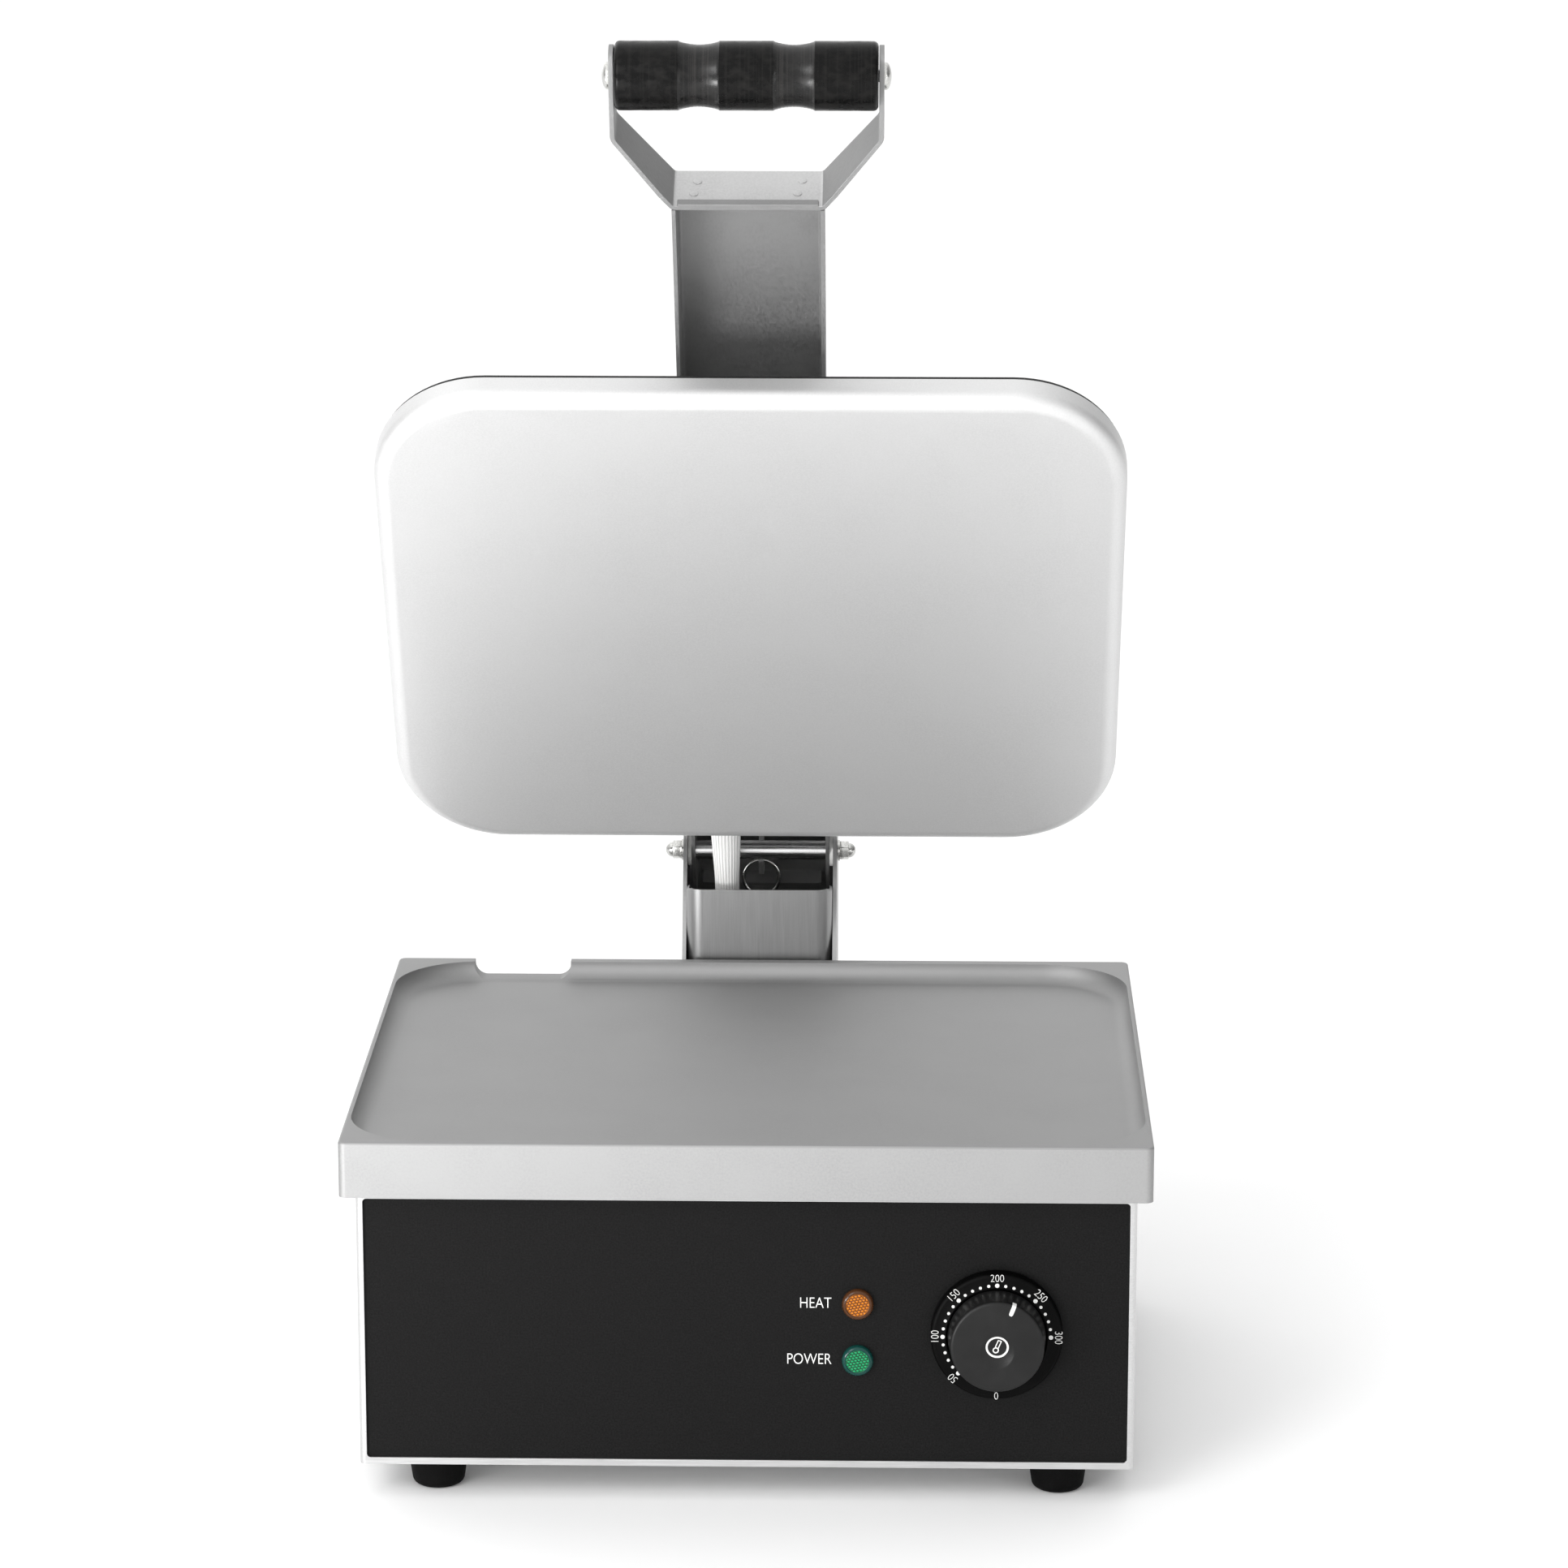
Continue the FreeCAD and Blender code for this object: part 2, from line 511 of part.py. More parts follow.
def build_arm():
    body = new_body("lid_arm")
    wall = size("arm_sheet")
    left, right = hinge_x - arm_half, hinge_x + arm_half
    channel = loop([(left, arm_low), (left, arm_high), (right, arm_high), (right, arm_low),
                    (right - wall, arm_low), (right - wall, arm_high - wall),
                    (left + wall, arm_high - wall), (left + wall, arm_low)],
                   [0, 4, 4, 0, 0, 2, 2, 0])
    length = size("arm_tail") - size("arm_front")
    pad(body, "XZ", [channel], -size("arm_tail"), length)
    end = rectangle(left + wall + 3, arm_low + 18, right - wall - 3, arm_high - wall + 0.5, 1)
    pad(body, "XZ", [end], -size("arm_tail"), wall)
    holes = [circle(hinge_y, hinge_z, size("rod_radius") + size("running_gap")),
             circle(size("tilt_y"), size("tilt_z"), size("tilt_radius") + 0.02)]
    pocket(body, "YZ", holes, left - 5, 2 * arm_half + 10, along_normal=True)
    trim = loop([(size("arm_tail") - 14, arm_low - 1), (size("arm_tail") + 1, arm_low - 1),
                 (size("arm_tail") + 1, arm_low + 9)])
    pocket(body, "YZ", [trim], left - 5, 2 * arm_half + 10, along_normal=True)
    under_web = arm_high - wall - 0.05
    tab = new_body("spring_tab")
    outline = loop([(402, under_web), (405.5, 54), (419, 54), (430, under_web)], [0, 5, 5, 0])
    pad(tab, "YZ", [outline, circle(tab_eye_y, tab_eye_z, 2.4)], hinge_x - 1.5, 3)


def build_handle():
    body = new_body("handle_bracket")
    strap, half_grip = size("strap_sheet"), size("grip_length") / 2
    face = size("arm_front") - strap - 0.1
    bend_y = face - size("strap_reach")
    tip = size("grip_y") - 15
    side_x = half_grip + 0.4
    outer = [(-arm_half, face + strap), (-side_x - strap, bend_y + strap * 0.4), (-side_x - strap, tip)]
    inner = [(-side_x, tip), (-side_x, bend_y + strap * 0.2), (-arm_half + 1.0, face)]
    left = outer + inner
    right = [(-x, y) for x, y in reversed(left)]
    points = [(hinge_x + x, y) for x, y in left + right]
    pad(body, "XY", [loop(points, [5, 7, 0, 0, 5, 3, 3, 5, 0, 0, 7, 5])], arm_low, size("arm_height"))
    hole_x = hinge_x - side_x - strap - 5
    pocket(body, "YZ", [circle(size("grip_y"), size("grip_z"), 3.05)], hole_x, 200, along_normal=True)
    trim = loop([(tip - 2, arm_low - 1), (face - 1, arm_low - 1), (bend_y, arm_low + 6),
                 (tip + 20, arm_low + 9), (tip - 2, size("grip_z") - 3)])
    pocket(body, "YZ", [trim], hole_x, 200, along_normal=True)
    hem = rectangle(hinge_x - arm_half + 3, face - 1.2, hinge_x + arm_half - 3, face + 1, 0)
    pad(body, "XY", [hem], arm_low, "Dims.hem_height")
    round_edges(body, 6, lambda p, e: abs(p.y - tip) < 0.6 and e.Length < strap + 1)


def build_grip():
    half, full = size("grip_length") / 2, size("grip_radius")
    waist, waist_round = 4.0, 26.0      # depth before rounding, and the rounding that leaves 1.9
    edges = [(-half, full), (-34.5, full), (-24, full - waist), (-13.5, full),
             (13.5, full), (24, full - waist), (34.5, full), (half, full)]
    profile = [V(-half, 3.1, 0)] + [V(x, r, 0) for x, r in edges] + [V(half, 3.1, 0)]
    radii = [0, 2.5] + [0.8, waist_round, 0.8] * 2 + [2.5, 0]
    face = Part.Face(Part.Wire([e.toShape() for e in round_loop(profile, radii)]))
    grip = face.revolve(V(0, 0, 0), V(1, 0, 0), 360)
    solid("handle_grip", grip.translated(V(hinge_x, size("grip_y"), size("grip_z"))))
    side = half + 0.4 + size("strap_sheet")
    rod = cylinder(hinge_x - side - 3, size("grip_y"), size("grip_z"), 3, 2 * side + 6, (1, 0, 0))
    solid("handle_tie_rod", rod)
    heads = []
    for sign in (-1, 1):
        dome = Part.makeSphere(10.0, V(0, 0, -6.4)).common(cylinder(0, 0, 0, 7, 8, (0, 0, 1)))
        dome = dome.cut(cylinder(0, 0, -1, 3.02, 4.02, (0, 0, 1)))
        dome.rotate(V(0, 0, 0), V(0, 1, 0), 90 * sign)
        heads.append(dome.translated(V(hinge_x + sign * (side + 0.1), size("grip_y"), size("grip_z"))))
    solid("handle_bolt_heads", Part.makeCompound(heads))


plate_half = size("plate_width") / 2
plate_front, plate_rear = size("plate_front"), size("plate_front") + size("plate_depth")
face_z = size("plate_face")
back_z = face_z + size("plate_thickness")
gland_shut_y = plate_rear - size("cover_inset")
gland_shut_z = back_z + size("gasket_thickness") + 8.9


def plate_outline(inset):
    corner = size("plate_corner") - inset
    return rectangle(hinge_x - plate_half + inset, plate_front + inset,
                     hinge_x + plate_half - inset, plate_rear - inset, corner)


def build_upper_plate():
    body = new_body("upper_platen")
    pad(body, "XY", [plate_outline(0)], face_z, "Dims.plate_thickness")
    pocket(body, "XY", [plate_outline(13)], back_z, size("plate_thickness") - 6)
    round_edges(body, "Dims.plate_round", lambda p, e: abs(p.z - face_z) < 0.01)
    gasket = new_body("upper_gasket")
    ring = [plate_outline(size("gasket_inset")), plate_outline(30)]
    pad(gasket, "XY", ring, back_z + 0.1, "Dims.gasket_thickness")
    heater_z = face_z + 6 + 3.6
    runs = [(-130, 300), (-130, 65), (-45, 65), (-45, 285), (45, 285), (45, 65), (130, 65), (130, 300)]
    path = [V(hinge_x + x, y, heater_z) for x, y in runs]
    solid("upper_heating_element", tube_along(path, [0] + [42] * 6 + [0], 3.5))
    insulation = new_body("upper_insulation")
    pad(insulation, "XY", [plate_outline(32)], back_z + 0.2, 6)


def build_upper_cover():
    body = new_body("upper_cover")
    low = back_z + 0.2 + size("gasket_thickness")
    inset = size("cover_inset")
    pad(body, "XY", [plate_outline(inset)], low, "Dims.cover_height")
    top = low + size("cover_height")
    round_edges(body, 5, lambda p, e: abs(p.z - top) < 0.01)
    inside = size("cover_height") - sheet
    pocket(body, "XY", [plate_outline(inset + sheet)], low, inside - 3.4, along_normal=True)
    pocket(body, "XY", [plate_outline(inset + 6)], low, inside, along_normal=True)
    screw_at = [(hinge_x + x, y) for x in (-120, 120) for y in (70, 285)]
    pocket(body, "XY", [circle(x, y, 2.6) for x, y in screw_at], top + 1, 5)
    sleeve_hole = circle(size("sleeve_x"), gland_shut_z, 5.2)
    pocket(body, "XZ", [sleeve_hole], -(gland_shut_y + 1), 5, along_normal=True)
    screws = []
    for x, y in screw_at:
        shank = cylinder(x, y, top - 12, 2.4, 12.2, (0, 0, 1))
        head = cylinder(x, y, top + 0.1, 4.5, 2.4, (0, 0, 1))
        screws.append(shank.fuse(head).removeSplitter())
    solid("cover_screws", Part.makeCompound(screws))
    return top


def build_tilt_bracket(top):
    body = new_body("plate_bracket")
    tilt_y, tilt_z = size("tilt_y"), size("tilt_z")
    half, wall = 34.0, 3.0
    channel = loop([(hinge_x - half, top + 0.1), (hinge_x + half, top + 0.1), (hinge_x + half, tilt_z + 9),
                    (hinge_x + half - wall, tilt_z + 9), (hinge_x + half - wall, top + 0.1 + wall),
                    (hinge_x - half + wall, top + 0.1 + wall), (hinge_x - half + wall, tilt_z + 9),
                    (hinge_x - half, tilt_z + 9)], [3, 3, 0, 0, 1, 1, 0, 0])
    pad(body, "XZ", [channel], -(tilt_y + 26), 52)
    ears = [loop([(tilt_y + 40 * side, top + 12), (tilt_y + 26 * side, top + 12),
                  (tilt_y + 10 * side, tilt_z + 9.5), (tilt_y + 40 * side, tilt_z + 12)])
            for side in (-1, 1)]
    pocket(body, "YZ", ears, hinge_x - 50, 100, along_normal=True)
    hole = circle(tilt_y, tilt_z, size("tilt_radius") + size("running_gap"))
    pocket(body, "YZ", [hole], hinge_x - 50, 100, along_normal=True)
    reach = arm_half + 1.5
    solid("tilt_pin", cylinder(hinge_x - reach, tilt_y, tilt_z, size("tilt_radius"), 2 * reach, (1, 0, 0)))
    clips = []
    for sign in (-1, 1):
        start = hinge_x + (arm_half + 0.1 if sign > 0 else -arm_half - 1.1)
        ring = cylinder(start, tilt_y, tilt_z, 8, 1.0, (1, 0, 0))
        bore = cylinder(start - 1, tilt_y, tilt_z, size("tilt_radius") + 0.02, 4, (1, 0, 0))
        clips.append(ring.cut(bore))
    solid("tilt_pin_clips", Part.makeCompound(clips))


# ---------------------------------------------------------------- sleeve and spring, at rest

def build_sleeve():
    x = size("sleeve_x")
    collar = cylinder(x, gland_shut_y + 0.1, gland_shut_z, 7.4, 7, (0, 1, 0))
    solid("sleeve_gland", collar)
    start = lid_point(gland_shut_y + 7.2, gland_shut_z)
    route = [(start.y, start.z)]
    toward = lid_point(gland_shut_y + 47, gland_shut_z)
    route += [(toward.y, toward.z), (379.5, 36.0), (380.0, 2.0), (380.0, -30.0)]
    points = [V(x, y, z) for y, z in route]
    radii = row_arcs(points)
    print("sleeve route", [(round(p.y, 1), round(p.z, 1)) for p in points])
    solid("wiring_sleeve", tube_along(points, radii, size("sleeve_radius")))


def build_spring():
    eye = lid_point(tab_eye_y, tab_eye_z)
    outer, wire = size("spring_radius"), size("spring_wire")
    mean = outer - wire / 2
    loop_z = eye.z - mean
    top_loop = Part.makeTorus(mean, wire / 2, V(hinge_x, spring_y, loop_z), V(0, 1, 0))
    low_loop_z = anchor_z - 3.1 - wire / 2 + mean
    low_loop = Part.makeTorus(mean, wire / 2, V(hinge_x, spring_y, low_loop_z), V(0, 1, 0))
    coil_low, coil_high = low_loop_z + mean - 0.4, loop_z - mean + 0.4
    coil = Part.makeCylinder(outer, coil_high - coil_low, V(hinge_x, spring_y, coil_low), V(0, 0, 1))
    coil = coil.cut(Part.makeCylinder(outer - wire, 300, V(hinge_x, spring_y, coil_low - 50), V(0, 0, 1)))
    solid("balance_spring", coil.fuse([top_loop, low_loop]).removeSplitter())
    print("spring coil from", round(coil_low, 1), "to", round(coil_high, 1), "eye", eye)


# ---------------------------------------------------------------- build, place, check and write
build_tray()
build_tray_heater()
build_tray_screws()
build_housing()
build_bottom_plate()
build_fascia()
build_feet()
build_controls()
build_thermostat()
for lamp, height in zip(("heat", "power"), lamp_heights):
    build_lamp(lamp, height)
build_mains_entry()
build_column()
build_column_cover()
build_hinge_pins()
build_spring()
build_sleeve()
at_rest_names = set(parts) - {"sleeve_gland"}
build_arm()
build_handle()
build_grip()
build_upper_plate()
cover_top = build_upper_cover()
build_tilt_bracket(cover_top)

lid_turn = FreeCAD.Placement(V(0, 0, 0), FreeCAD.Rotation(V(-1, 0, 0), size("open_angle")),
                             V(0, hinge_y, hinge_z))
for name, part in parts.items():
    part.Label = name
    shift = FreeCAD.Placement(to_row, FreeCAD.Rotation())
    if name not in at_rest_names:
        shift = shift.multiply(lid_turn)
    part.Placement = shift.multiply(part.Placement)
doc.recompute()

for thing in doc.Objects:
    if "Invalid" in thing.State or "Error" in thing.State:
        raise RuntimeError(f"{thing.Name}: {thing.State}")
whole = FreeCAD.BoundBox()
for name, part in parts.items():
    if part.Shape.isNull() or not part.Shape.isValid() or not part.Shape.Solids:
        raise RuntimeError(f"{name} is not a valid solid")
    part.Shape.exportStep(f"parts/{name}.step")
    whole.add(part.Shape.BoundBox)
print(len(parts), "parts; box", [round(v, 1) for v in (whole.XMin, whole.YMin, whole.ZMin,
                                                       whole.XMax, whole.YMax, whole.ZMax)])
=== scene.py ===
import json
import math

import bmesh
import bpy
from mathutils import Matrix, Vector


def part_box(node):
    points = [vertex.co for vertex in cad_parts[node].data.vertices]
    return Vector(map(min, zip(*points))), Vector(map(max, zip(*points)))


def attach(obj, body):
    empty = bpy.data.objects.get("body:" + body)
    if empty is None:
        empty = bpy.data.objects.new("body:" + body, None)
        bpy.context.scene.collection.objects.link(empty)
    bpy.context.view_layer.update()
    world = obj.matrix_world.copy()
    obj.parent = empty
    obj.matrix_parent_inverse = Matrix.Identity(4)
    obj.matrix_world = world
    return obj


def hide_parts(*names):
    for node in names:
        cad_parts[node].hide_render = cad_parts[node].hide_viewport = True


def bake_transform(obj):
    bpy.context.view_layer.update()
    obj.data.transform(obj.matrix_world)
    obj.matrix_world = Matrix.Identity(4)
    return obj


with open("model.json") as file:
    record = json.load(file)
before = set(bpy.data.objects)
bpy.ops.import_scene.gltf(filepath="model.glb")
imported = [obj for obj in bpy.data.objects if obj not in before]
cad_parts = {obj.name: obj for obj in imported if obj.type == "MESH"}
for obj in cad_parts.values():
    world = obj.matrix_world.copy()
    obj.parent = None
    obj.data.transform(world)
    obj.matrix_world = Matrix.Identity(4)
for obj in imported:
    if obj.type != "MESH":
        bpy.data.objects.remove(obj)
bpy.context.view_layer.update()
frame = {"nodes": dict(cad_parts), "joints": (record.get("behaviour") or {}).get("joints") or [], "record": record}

scene = bpy.context.scene
record = frame["record"]
bodyOf = {node: body for body, nodes in record["behaviour"]["bodies"].items() for node in nodes}


def hexColour(code):  # sRGB hex to linear
    parts = [int(code[i:i + 2], 16) / 255 for i in (0, 2, 4)]
    return tuple(c / 12.92 if c <= 0.04045 else ((c + 0.055) / 1.055) ** 2.4 for c in parts) + (1.0,)


def perMm(size):  # noise scales count features per metre
    return 1000.0 / size


def addNode(tree, kind, settings=None, links=None):
    node = tree.nodes.new(kind)
    for key, value in (settings or {}).items():
        if isinstance(key, int) or key in node.inputs.keys():
            node.inputs[key].default_value = value
        else:
            setattr(node, key, value)
    for key, source in (links or {}).items():
        tree.links.new(source, node.inputs[key])
    return node


def startMaterial(name, settings):
    material = bpy.data.materials.new(name)
    material.use_nodes = True
    tree = material.node_tree
    shader = tree.nodes["Principled BSDF"]
    for key, value in settings.items():
        shader.inputs[key].default_value = value
    return material, tree, shader


def objectNoise(tree, size, stretch=(1, 1, 1), turn=(0, 0, 0), detail=4.0):
    coords = addNode(tree, "ShaderNodeTexCoord")
    mapping = addNode(tree, "ShaderNodeMapping", {"Scale": stretch, "Rotation": turn},
                      {"Vector": coords.outputs["Object"]})
    noise = addNode(tree, "ShaderNodeTexNoise", {"Scale": perMm(size), "Detail": detail},
                    {"Vector": mapping.outputs["Vector"]})
    return noise.outputs["Fac"]


def spread(tree, source, low, high, outLow, outHigh):
    ranged = addNode(tree, "ShaderNodeMapRange", {"From Min": low, "From Max": high, "To Min": outLow,
                                                  "To Max": outHigh}, {"Value": source})
    return ranged.outputs["Result"]


def mixColours(tree, factor, first, second):
    mix = addNode(tree, "ShaderNodeMix", {"data_type": "RGBA"})
    tree.links.new(factor, mix.inputs[0])
    for socket, colour in ((6, first), (7, second)):
        if isinstance(colour, str):
            mix.inputs[socket].default_value = hexColour(colour)
        else:
            tree.links.new(colour, mix.inputs[socket])
    return mix.outputs[2]


def addBump(tree, shader, height, distance, strength=1.0):
    bump = addNode(tree, "ShaderNodeBump", {"Strength": strength, "Distance": distance}, {"Height": height})
    tree.links.new(bump.outputs["Normal"], shader.inputs["Normal"])


def makeMetal(name, dark, light, grain, stretch, turn, rough, bump=0.00002, cloud=60):
    # a fine directional or even grain varies the colour a little and the roughness more
    material, tree, shader = startMaterial(name, {"Metallic": 1.0})
    fine = objectNoise(tree, grain, stretch, turn, detail=3)
    patches = objectNoise(tree, cloud, detail=2)
    tint = mixColours(tree, spread(tree, fine, 0.3, 0.7, 0, 1), dark, light)
    tree.links.new(mixColours(tree, spread(tree, patches, 0.35, 0.65, 0.0, 0.35), tint, light),
                   shader.inputs["Base Color"])
    streaks = spread(tree, fine, 0.3, 0.7, rough[0], rough[1])
    tree.links.new(streaks, shader.inputs["Roughness"])
    addBump(tree, shader, fine, bump, 0.5)
    return material


def castAluminium(name, dark, light, rough):
    # cast aluminium, ground flat then bead blasted: an even satin grey with faint cloudy patches
    return makeMetal(name, dark, light, 0.9, (1, 1, 1), (0, 0, 0), rough, 0.000015, cloud=45)


def brushedStainless(name, along, dark, light, rough):
    # rolled 430 stainless sheet, brushed: fine parallel hairlines that stretch the highlights
    stretch = {"x": (0.03, 1, 1), "z": (1, 1, 0.03)}[along]
    return makeMetal(name, dark, light, 0.6, stretch, (0, 0, 0), rough, 0.00002)


def millSheet(name, dark, light, rough):
    # mill-finish stainless with its rolling lines along the lid arm, which leans back 30 degrees
    turn = (math.radians(-30), 0, 0)
    return makeMetal(name, dark, light, 1.2, (1, 1, 0.12), turn, rough, 0.000012, cloud=18)


def powderCoat():
    # black powder-coated steel: fine leathery orange peel that breaks up the sheen
    material, tree, shader = startMaterial("black powder coat", {"IOR": 1.22})
    grain = objectNoise(tree, 0.9, detail=5)
    blotch = objectNoise(tree, 7.0, detail=2)
    tint = mixColours(tree, spread(tree, grain, 0.35, 0.7, 0, 1), "050505", "151515")
    tree.links.new(mixColours(tree, spread(tree, blotch, 0.3, 0.8, 0, 0.3), tint, "090909"),
                   shader.inputs["Base Color"])
    tree.links.new(spread(tree, grain, 0.3, 0.7, 0.42, 0.62), shader.inputs["Roughness"])
    addBump(tree, shader, grain, 0.00012, 0.6)
    return material


def mouldedPlastic(name, dark, light, rough, grain=0.7, bump=0.00003, ior=1.5):
    # injection-moulded plastic: spark-eroded mould texture, a touch lighter where it is worn
    material, tree, shader = startMaterial(name, {"IOR": ior})
    fine = objectNoise(tree, grain, detail=4)
    patches = objectNoise(tree, 14, detail=2)
    tint = mixColours(tree, spread(tree, patches, 0.35, 0.7, 0, 1), dark, light)
    tree.links.new(tint, shader.inputs["Base Color"])
    tree.links.new(spread(tree, fine, 0.3, 0.7, rough[0], rough[1]), shader.inputs["Roughness"])
    addBump(tree, shader, fine, bump, 0.5)
    return material


def turnedBakelite(name, ior, lineColour, lineAmount):
    # phenolic resin turned on a lathe and handled: deep black gloss, brown-grey rub marks, fine tool rings
    material, tree, shader = startMaterial(name, {"IOR": ior})
    rub = objectNoise(tree, 3.5, (0.7, 1, 1), detail=9)
    smear = objectNoise(tree, 16.0, (0.6, 1, 1), detail=4)
    rings = objectNoise(tree, 0.7, (1, 0.004, 0.004), detail=3)
    base = mixColours(tree, spread(tree, rub, 0.45, 0.7, 0, 1), "030303", "141312")
    lined = mixColours(tree, spread(tree, rings, 0.5, 0.7, 0, lineAmount), base, lineColour)
    tree.links.new(mixColours(tree, spread(tree, smear, 0.5, 0.75, 0, 0.45), lined, "181716"),
                   shader.inputs["Base Color"])
    tree.links.new(spread(tree, rub, 0.35, 0.7, 0.2, 0.42), shader.inputs["Roughness"])
    addBump(tree, shader, rings, 0.00006, 0.5)
    return material


def tintedLens(name, deep, bright, rough):
    # dyed polycarbonate: a deep glassy rim, and a prismatic core whose pyramid tops are painted lighter and
    # hollows darker, painted highlight and shade
    material, tree, shader = startMaterial(name, {"IOR": 1.35})
    speck = objectNoise(tree, 0.9, detail=2)
    ridges = addNode(tree, "ShaderNodeAttribute", {"attribute_name": "ridgeHeight"})
    # pyramid height picks the colour: painted highlight on the tops, painted shade in the hollows
    tint = mixColours(tree, spread(tree, ridges.outputs["Fac"], 0.15, 0.95, 0, 1), deep, bright)
    tree.links.new(mixColours(tree, spread(tree, speck, 0.45, 0.75, 0, 0.35), tint, deep),
                   shader.inputs["Base Color"])
    tree.links.new(spread(tree, speck, 0.3, 0.7, rough, rough + 0.12), shader.inputs["Roughness"])
    return material


def glassBraid():
    # woven glass-fibre sleeving: white warp cords, the grooves between them painted grey as shade, pale soft sheen
    material, tree, shader = startMaterial("glass fibre braid", {"Roughness": 0.75, "Sheen Weight": 0.25})
    ribs = addNode(tree, "ShaderNodeAttribute", {"attribute_name": "ribHeight"})
    weave = objectNoise(tree, 0.7, detail=3)
    # rib height picks the colour: painted shade in the grooves between the cords
    tint = mixColours(tree, spread(tree, ribs.outputs["Fac"], 0.1, 0.7, 0, 1), "b4b4b2", "fbfbfa")
    tree.links.new(mixColours(tree, spread(tree, weave, 0.45, 0.8, 0, 0.2), tint, "dededb"),
                   shader.inputs["Base Color"])
    addBump(tree, shader, weave, 0.0002, 0.5)
    return material


def pressedWool():
    # mineral-fibre board: matt, straw coloured, coarse fibres
    material, tree, shader = startMaterial("mineral fibre board", {"Roughness": 0.95})
    fibres = objectNoise(tree, 1.2, (0.2, 1, 1), detail=6)
    tree.links.new(mixColours(tree, fibres, "8f7f52", "d8cb9a"), shader.inputs["Base Color"])
    addBump(tree, shader, fibres, 0.0006, 0.8)
    return material


metals = {
    "pan": castAluminium("cast aluminium, satin ground", "9a9a9a", "a3a3a3", (0.58, 0.68)),
    "skirt": makeMetal("cast aluminium, machined skirt", "a0a0a0", "aeaeae", 1.2, (1, 1, 1), (0, 0, 0),
                       (0.58, 0.68), 0.000012, cloud=38),
    "face": castAluminium("cast aluminium, ground face", "d8d8d8", "e0e0e0", (0.54, 0.6)),
    "sheetX": brushedStainless("stainless brushed across", "x", "c4c4c4", "d2d2d2", (0.3, 0.42)),
    "sheetZ": brushedStainless("stainless brushed upright", "z", "969696", "9d9d9d", (0.36, 0.42)),
    # the darker copy of the mill finish, used on the lid arm and as painted shade on the handle bracket's folded
    # sides and hem
    "arm": millSheet("mill finish stainless, arm and painted shade", "969696", "a4a4a4", (0.58, 0.7)),
    "bracket": millSheet("mill finish stainless, bracket", "bebebe", "d0d0d0", (0.5, 0.62)),
    "rod": brushedStainless("ground steel bar", "x", "d9d9d9", "efefef", (0.2, 0.3)),
    "nut": castAluminium("nickel plated steel", "b4b4b2", "d6d6d3", (0.18, 0.28)),
    "zinc": castAluminium("zinc plated steel", "8e9194", "b4b6b6", (0.3, 0.45)),
    "heater": castAluminium("heat-blued sheath", "39342f", "5a5048", (0.35, 0.55)),
    "copper": castAluminium("drawn copper", "8a4a2c", "b8714b", (0.25, 0.4)),
}
powder = powderCoat()
rubberBlack = mouldedPlastic("moulded black rubber", "040404", "0b0b0b", (0.6, 0.8), 0.5, 0.00004, 1.18)
dialPlastic = mouldedPlastic("matt black ABS", "030303", "070707", (0.42, 0.55), ior=1.15)
knobPlastic = mouldedPlastic("satin black phenolic", "101010", "181818", (0.36, 0.46), 0.5, 0.00004, 1.34)
whitePrint = mouldedPlastic("white pad-printed ink", "d4d4d2", "e8e8e6", (0.5, 0.65))
nylon = mouldedPlastic("natural nylon", "cfcbbd", "e0ddd2", (0.4, 0.55))
polyamide = mouldedPlastic("black polyamide", "101010", "1d1d1d", (0.35, 0.5))
ptfe = mouldedPlastic("white PTFE", "d6d6d4", "ececea", (0.3, 0.4))
silicone = mouldedPlastic("black silicone", "141414", "202020", (0.55, 0.7))
bakelite = turnedBakelite("turned bakelite", 1.25, "1f1e1d", 0.4)
bakeliteWaist = turnedBakelite("turned bakelite, tool lines", 1.4, "2c2a29", 0.8)
lenses = {
    "heat": (tintedLens("amber polycarbonate rim", "341c0e", "5a381e", 0.08),
             tintedLens("amber polycarbonate core", "5c2c02", "c6740f", 0.3)),
    "power": (tintedLens("green polycarbonate rim", "082e2a", "124842", 0.08),
              tintedLens("green polycarbonate core", "023a20", "0f945c", 0.3)),
}
braid = glassBraid()
wool = pressedWool()
print("materials made:", len(bpy.data.materials))


def standFor(piece, *nodes):
    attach(piece, bodyOf[nodes[0]])
    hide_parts(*nodes)
    return piece


def finishMesh(mesh, name, *materials, smooth=True):
    data = bpy.data.meshes.new(name)
    for face in mesh.faces:
        face.smooth = smooth
    mesh.to_mesh(data)
    mesh.free()
    piece = bpy.data.objects.new(name, data)
    scene.collection.objects.link(piece)
    for material in materials:
        data.materials.append(material)
    return piece


edgeAngle = 32  # degrees that two faces turn by before the edge between them counts as an edge


def softenEdges(piece, width):
    bevel = piece.modifiers.new("edge break", "BEVEL")
    bevel.width = width
    bevel.segments = 2
    bevel.limit_method = "ANGLE"
    bevel.angle_limit = math.radians(edgeAngle)
    bevel.harden_normals = True


def sharpen(mesh, angle=edgeAngle):
    # an edge stays sharp where its faces turn by more than the angle, and where it has no angle at all
    for line in mesh.edges:
        line.smooth = len(line.link_faces) == 2 and line.calc_face_angle(math.pi) < math.radians(angle)
    return mesh


def mergeInto(target, part):
    data = bpy.data.meshes.new("part")
    part.to_mesh(data)
    part.free()
    target.from_mesh(data)
    bpy.data.meshes.remove(data)


def takeCurve(curve):
    # the mesh that a curve or a line of lettering makes
    holder = bpy.data.objects.new(curve.name, curve)
    scene.collection.objects.link(holder)
    data = bpy.data.meshes.new_from_object(holder)
    bpy.data.objects.remove(holder)
    mesh = bmesh.new()
    mesh.from_mesh(data)
    bpy.data.meshes.remove(data)
    return mesh


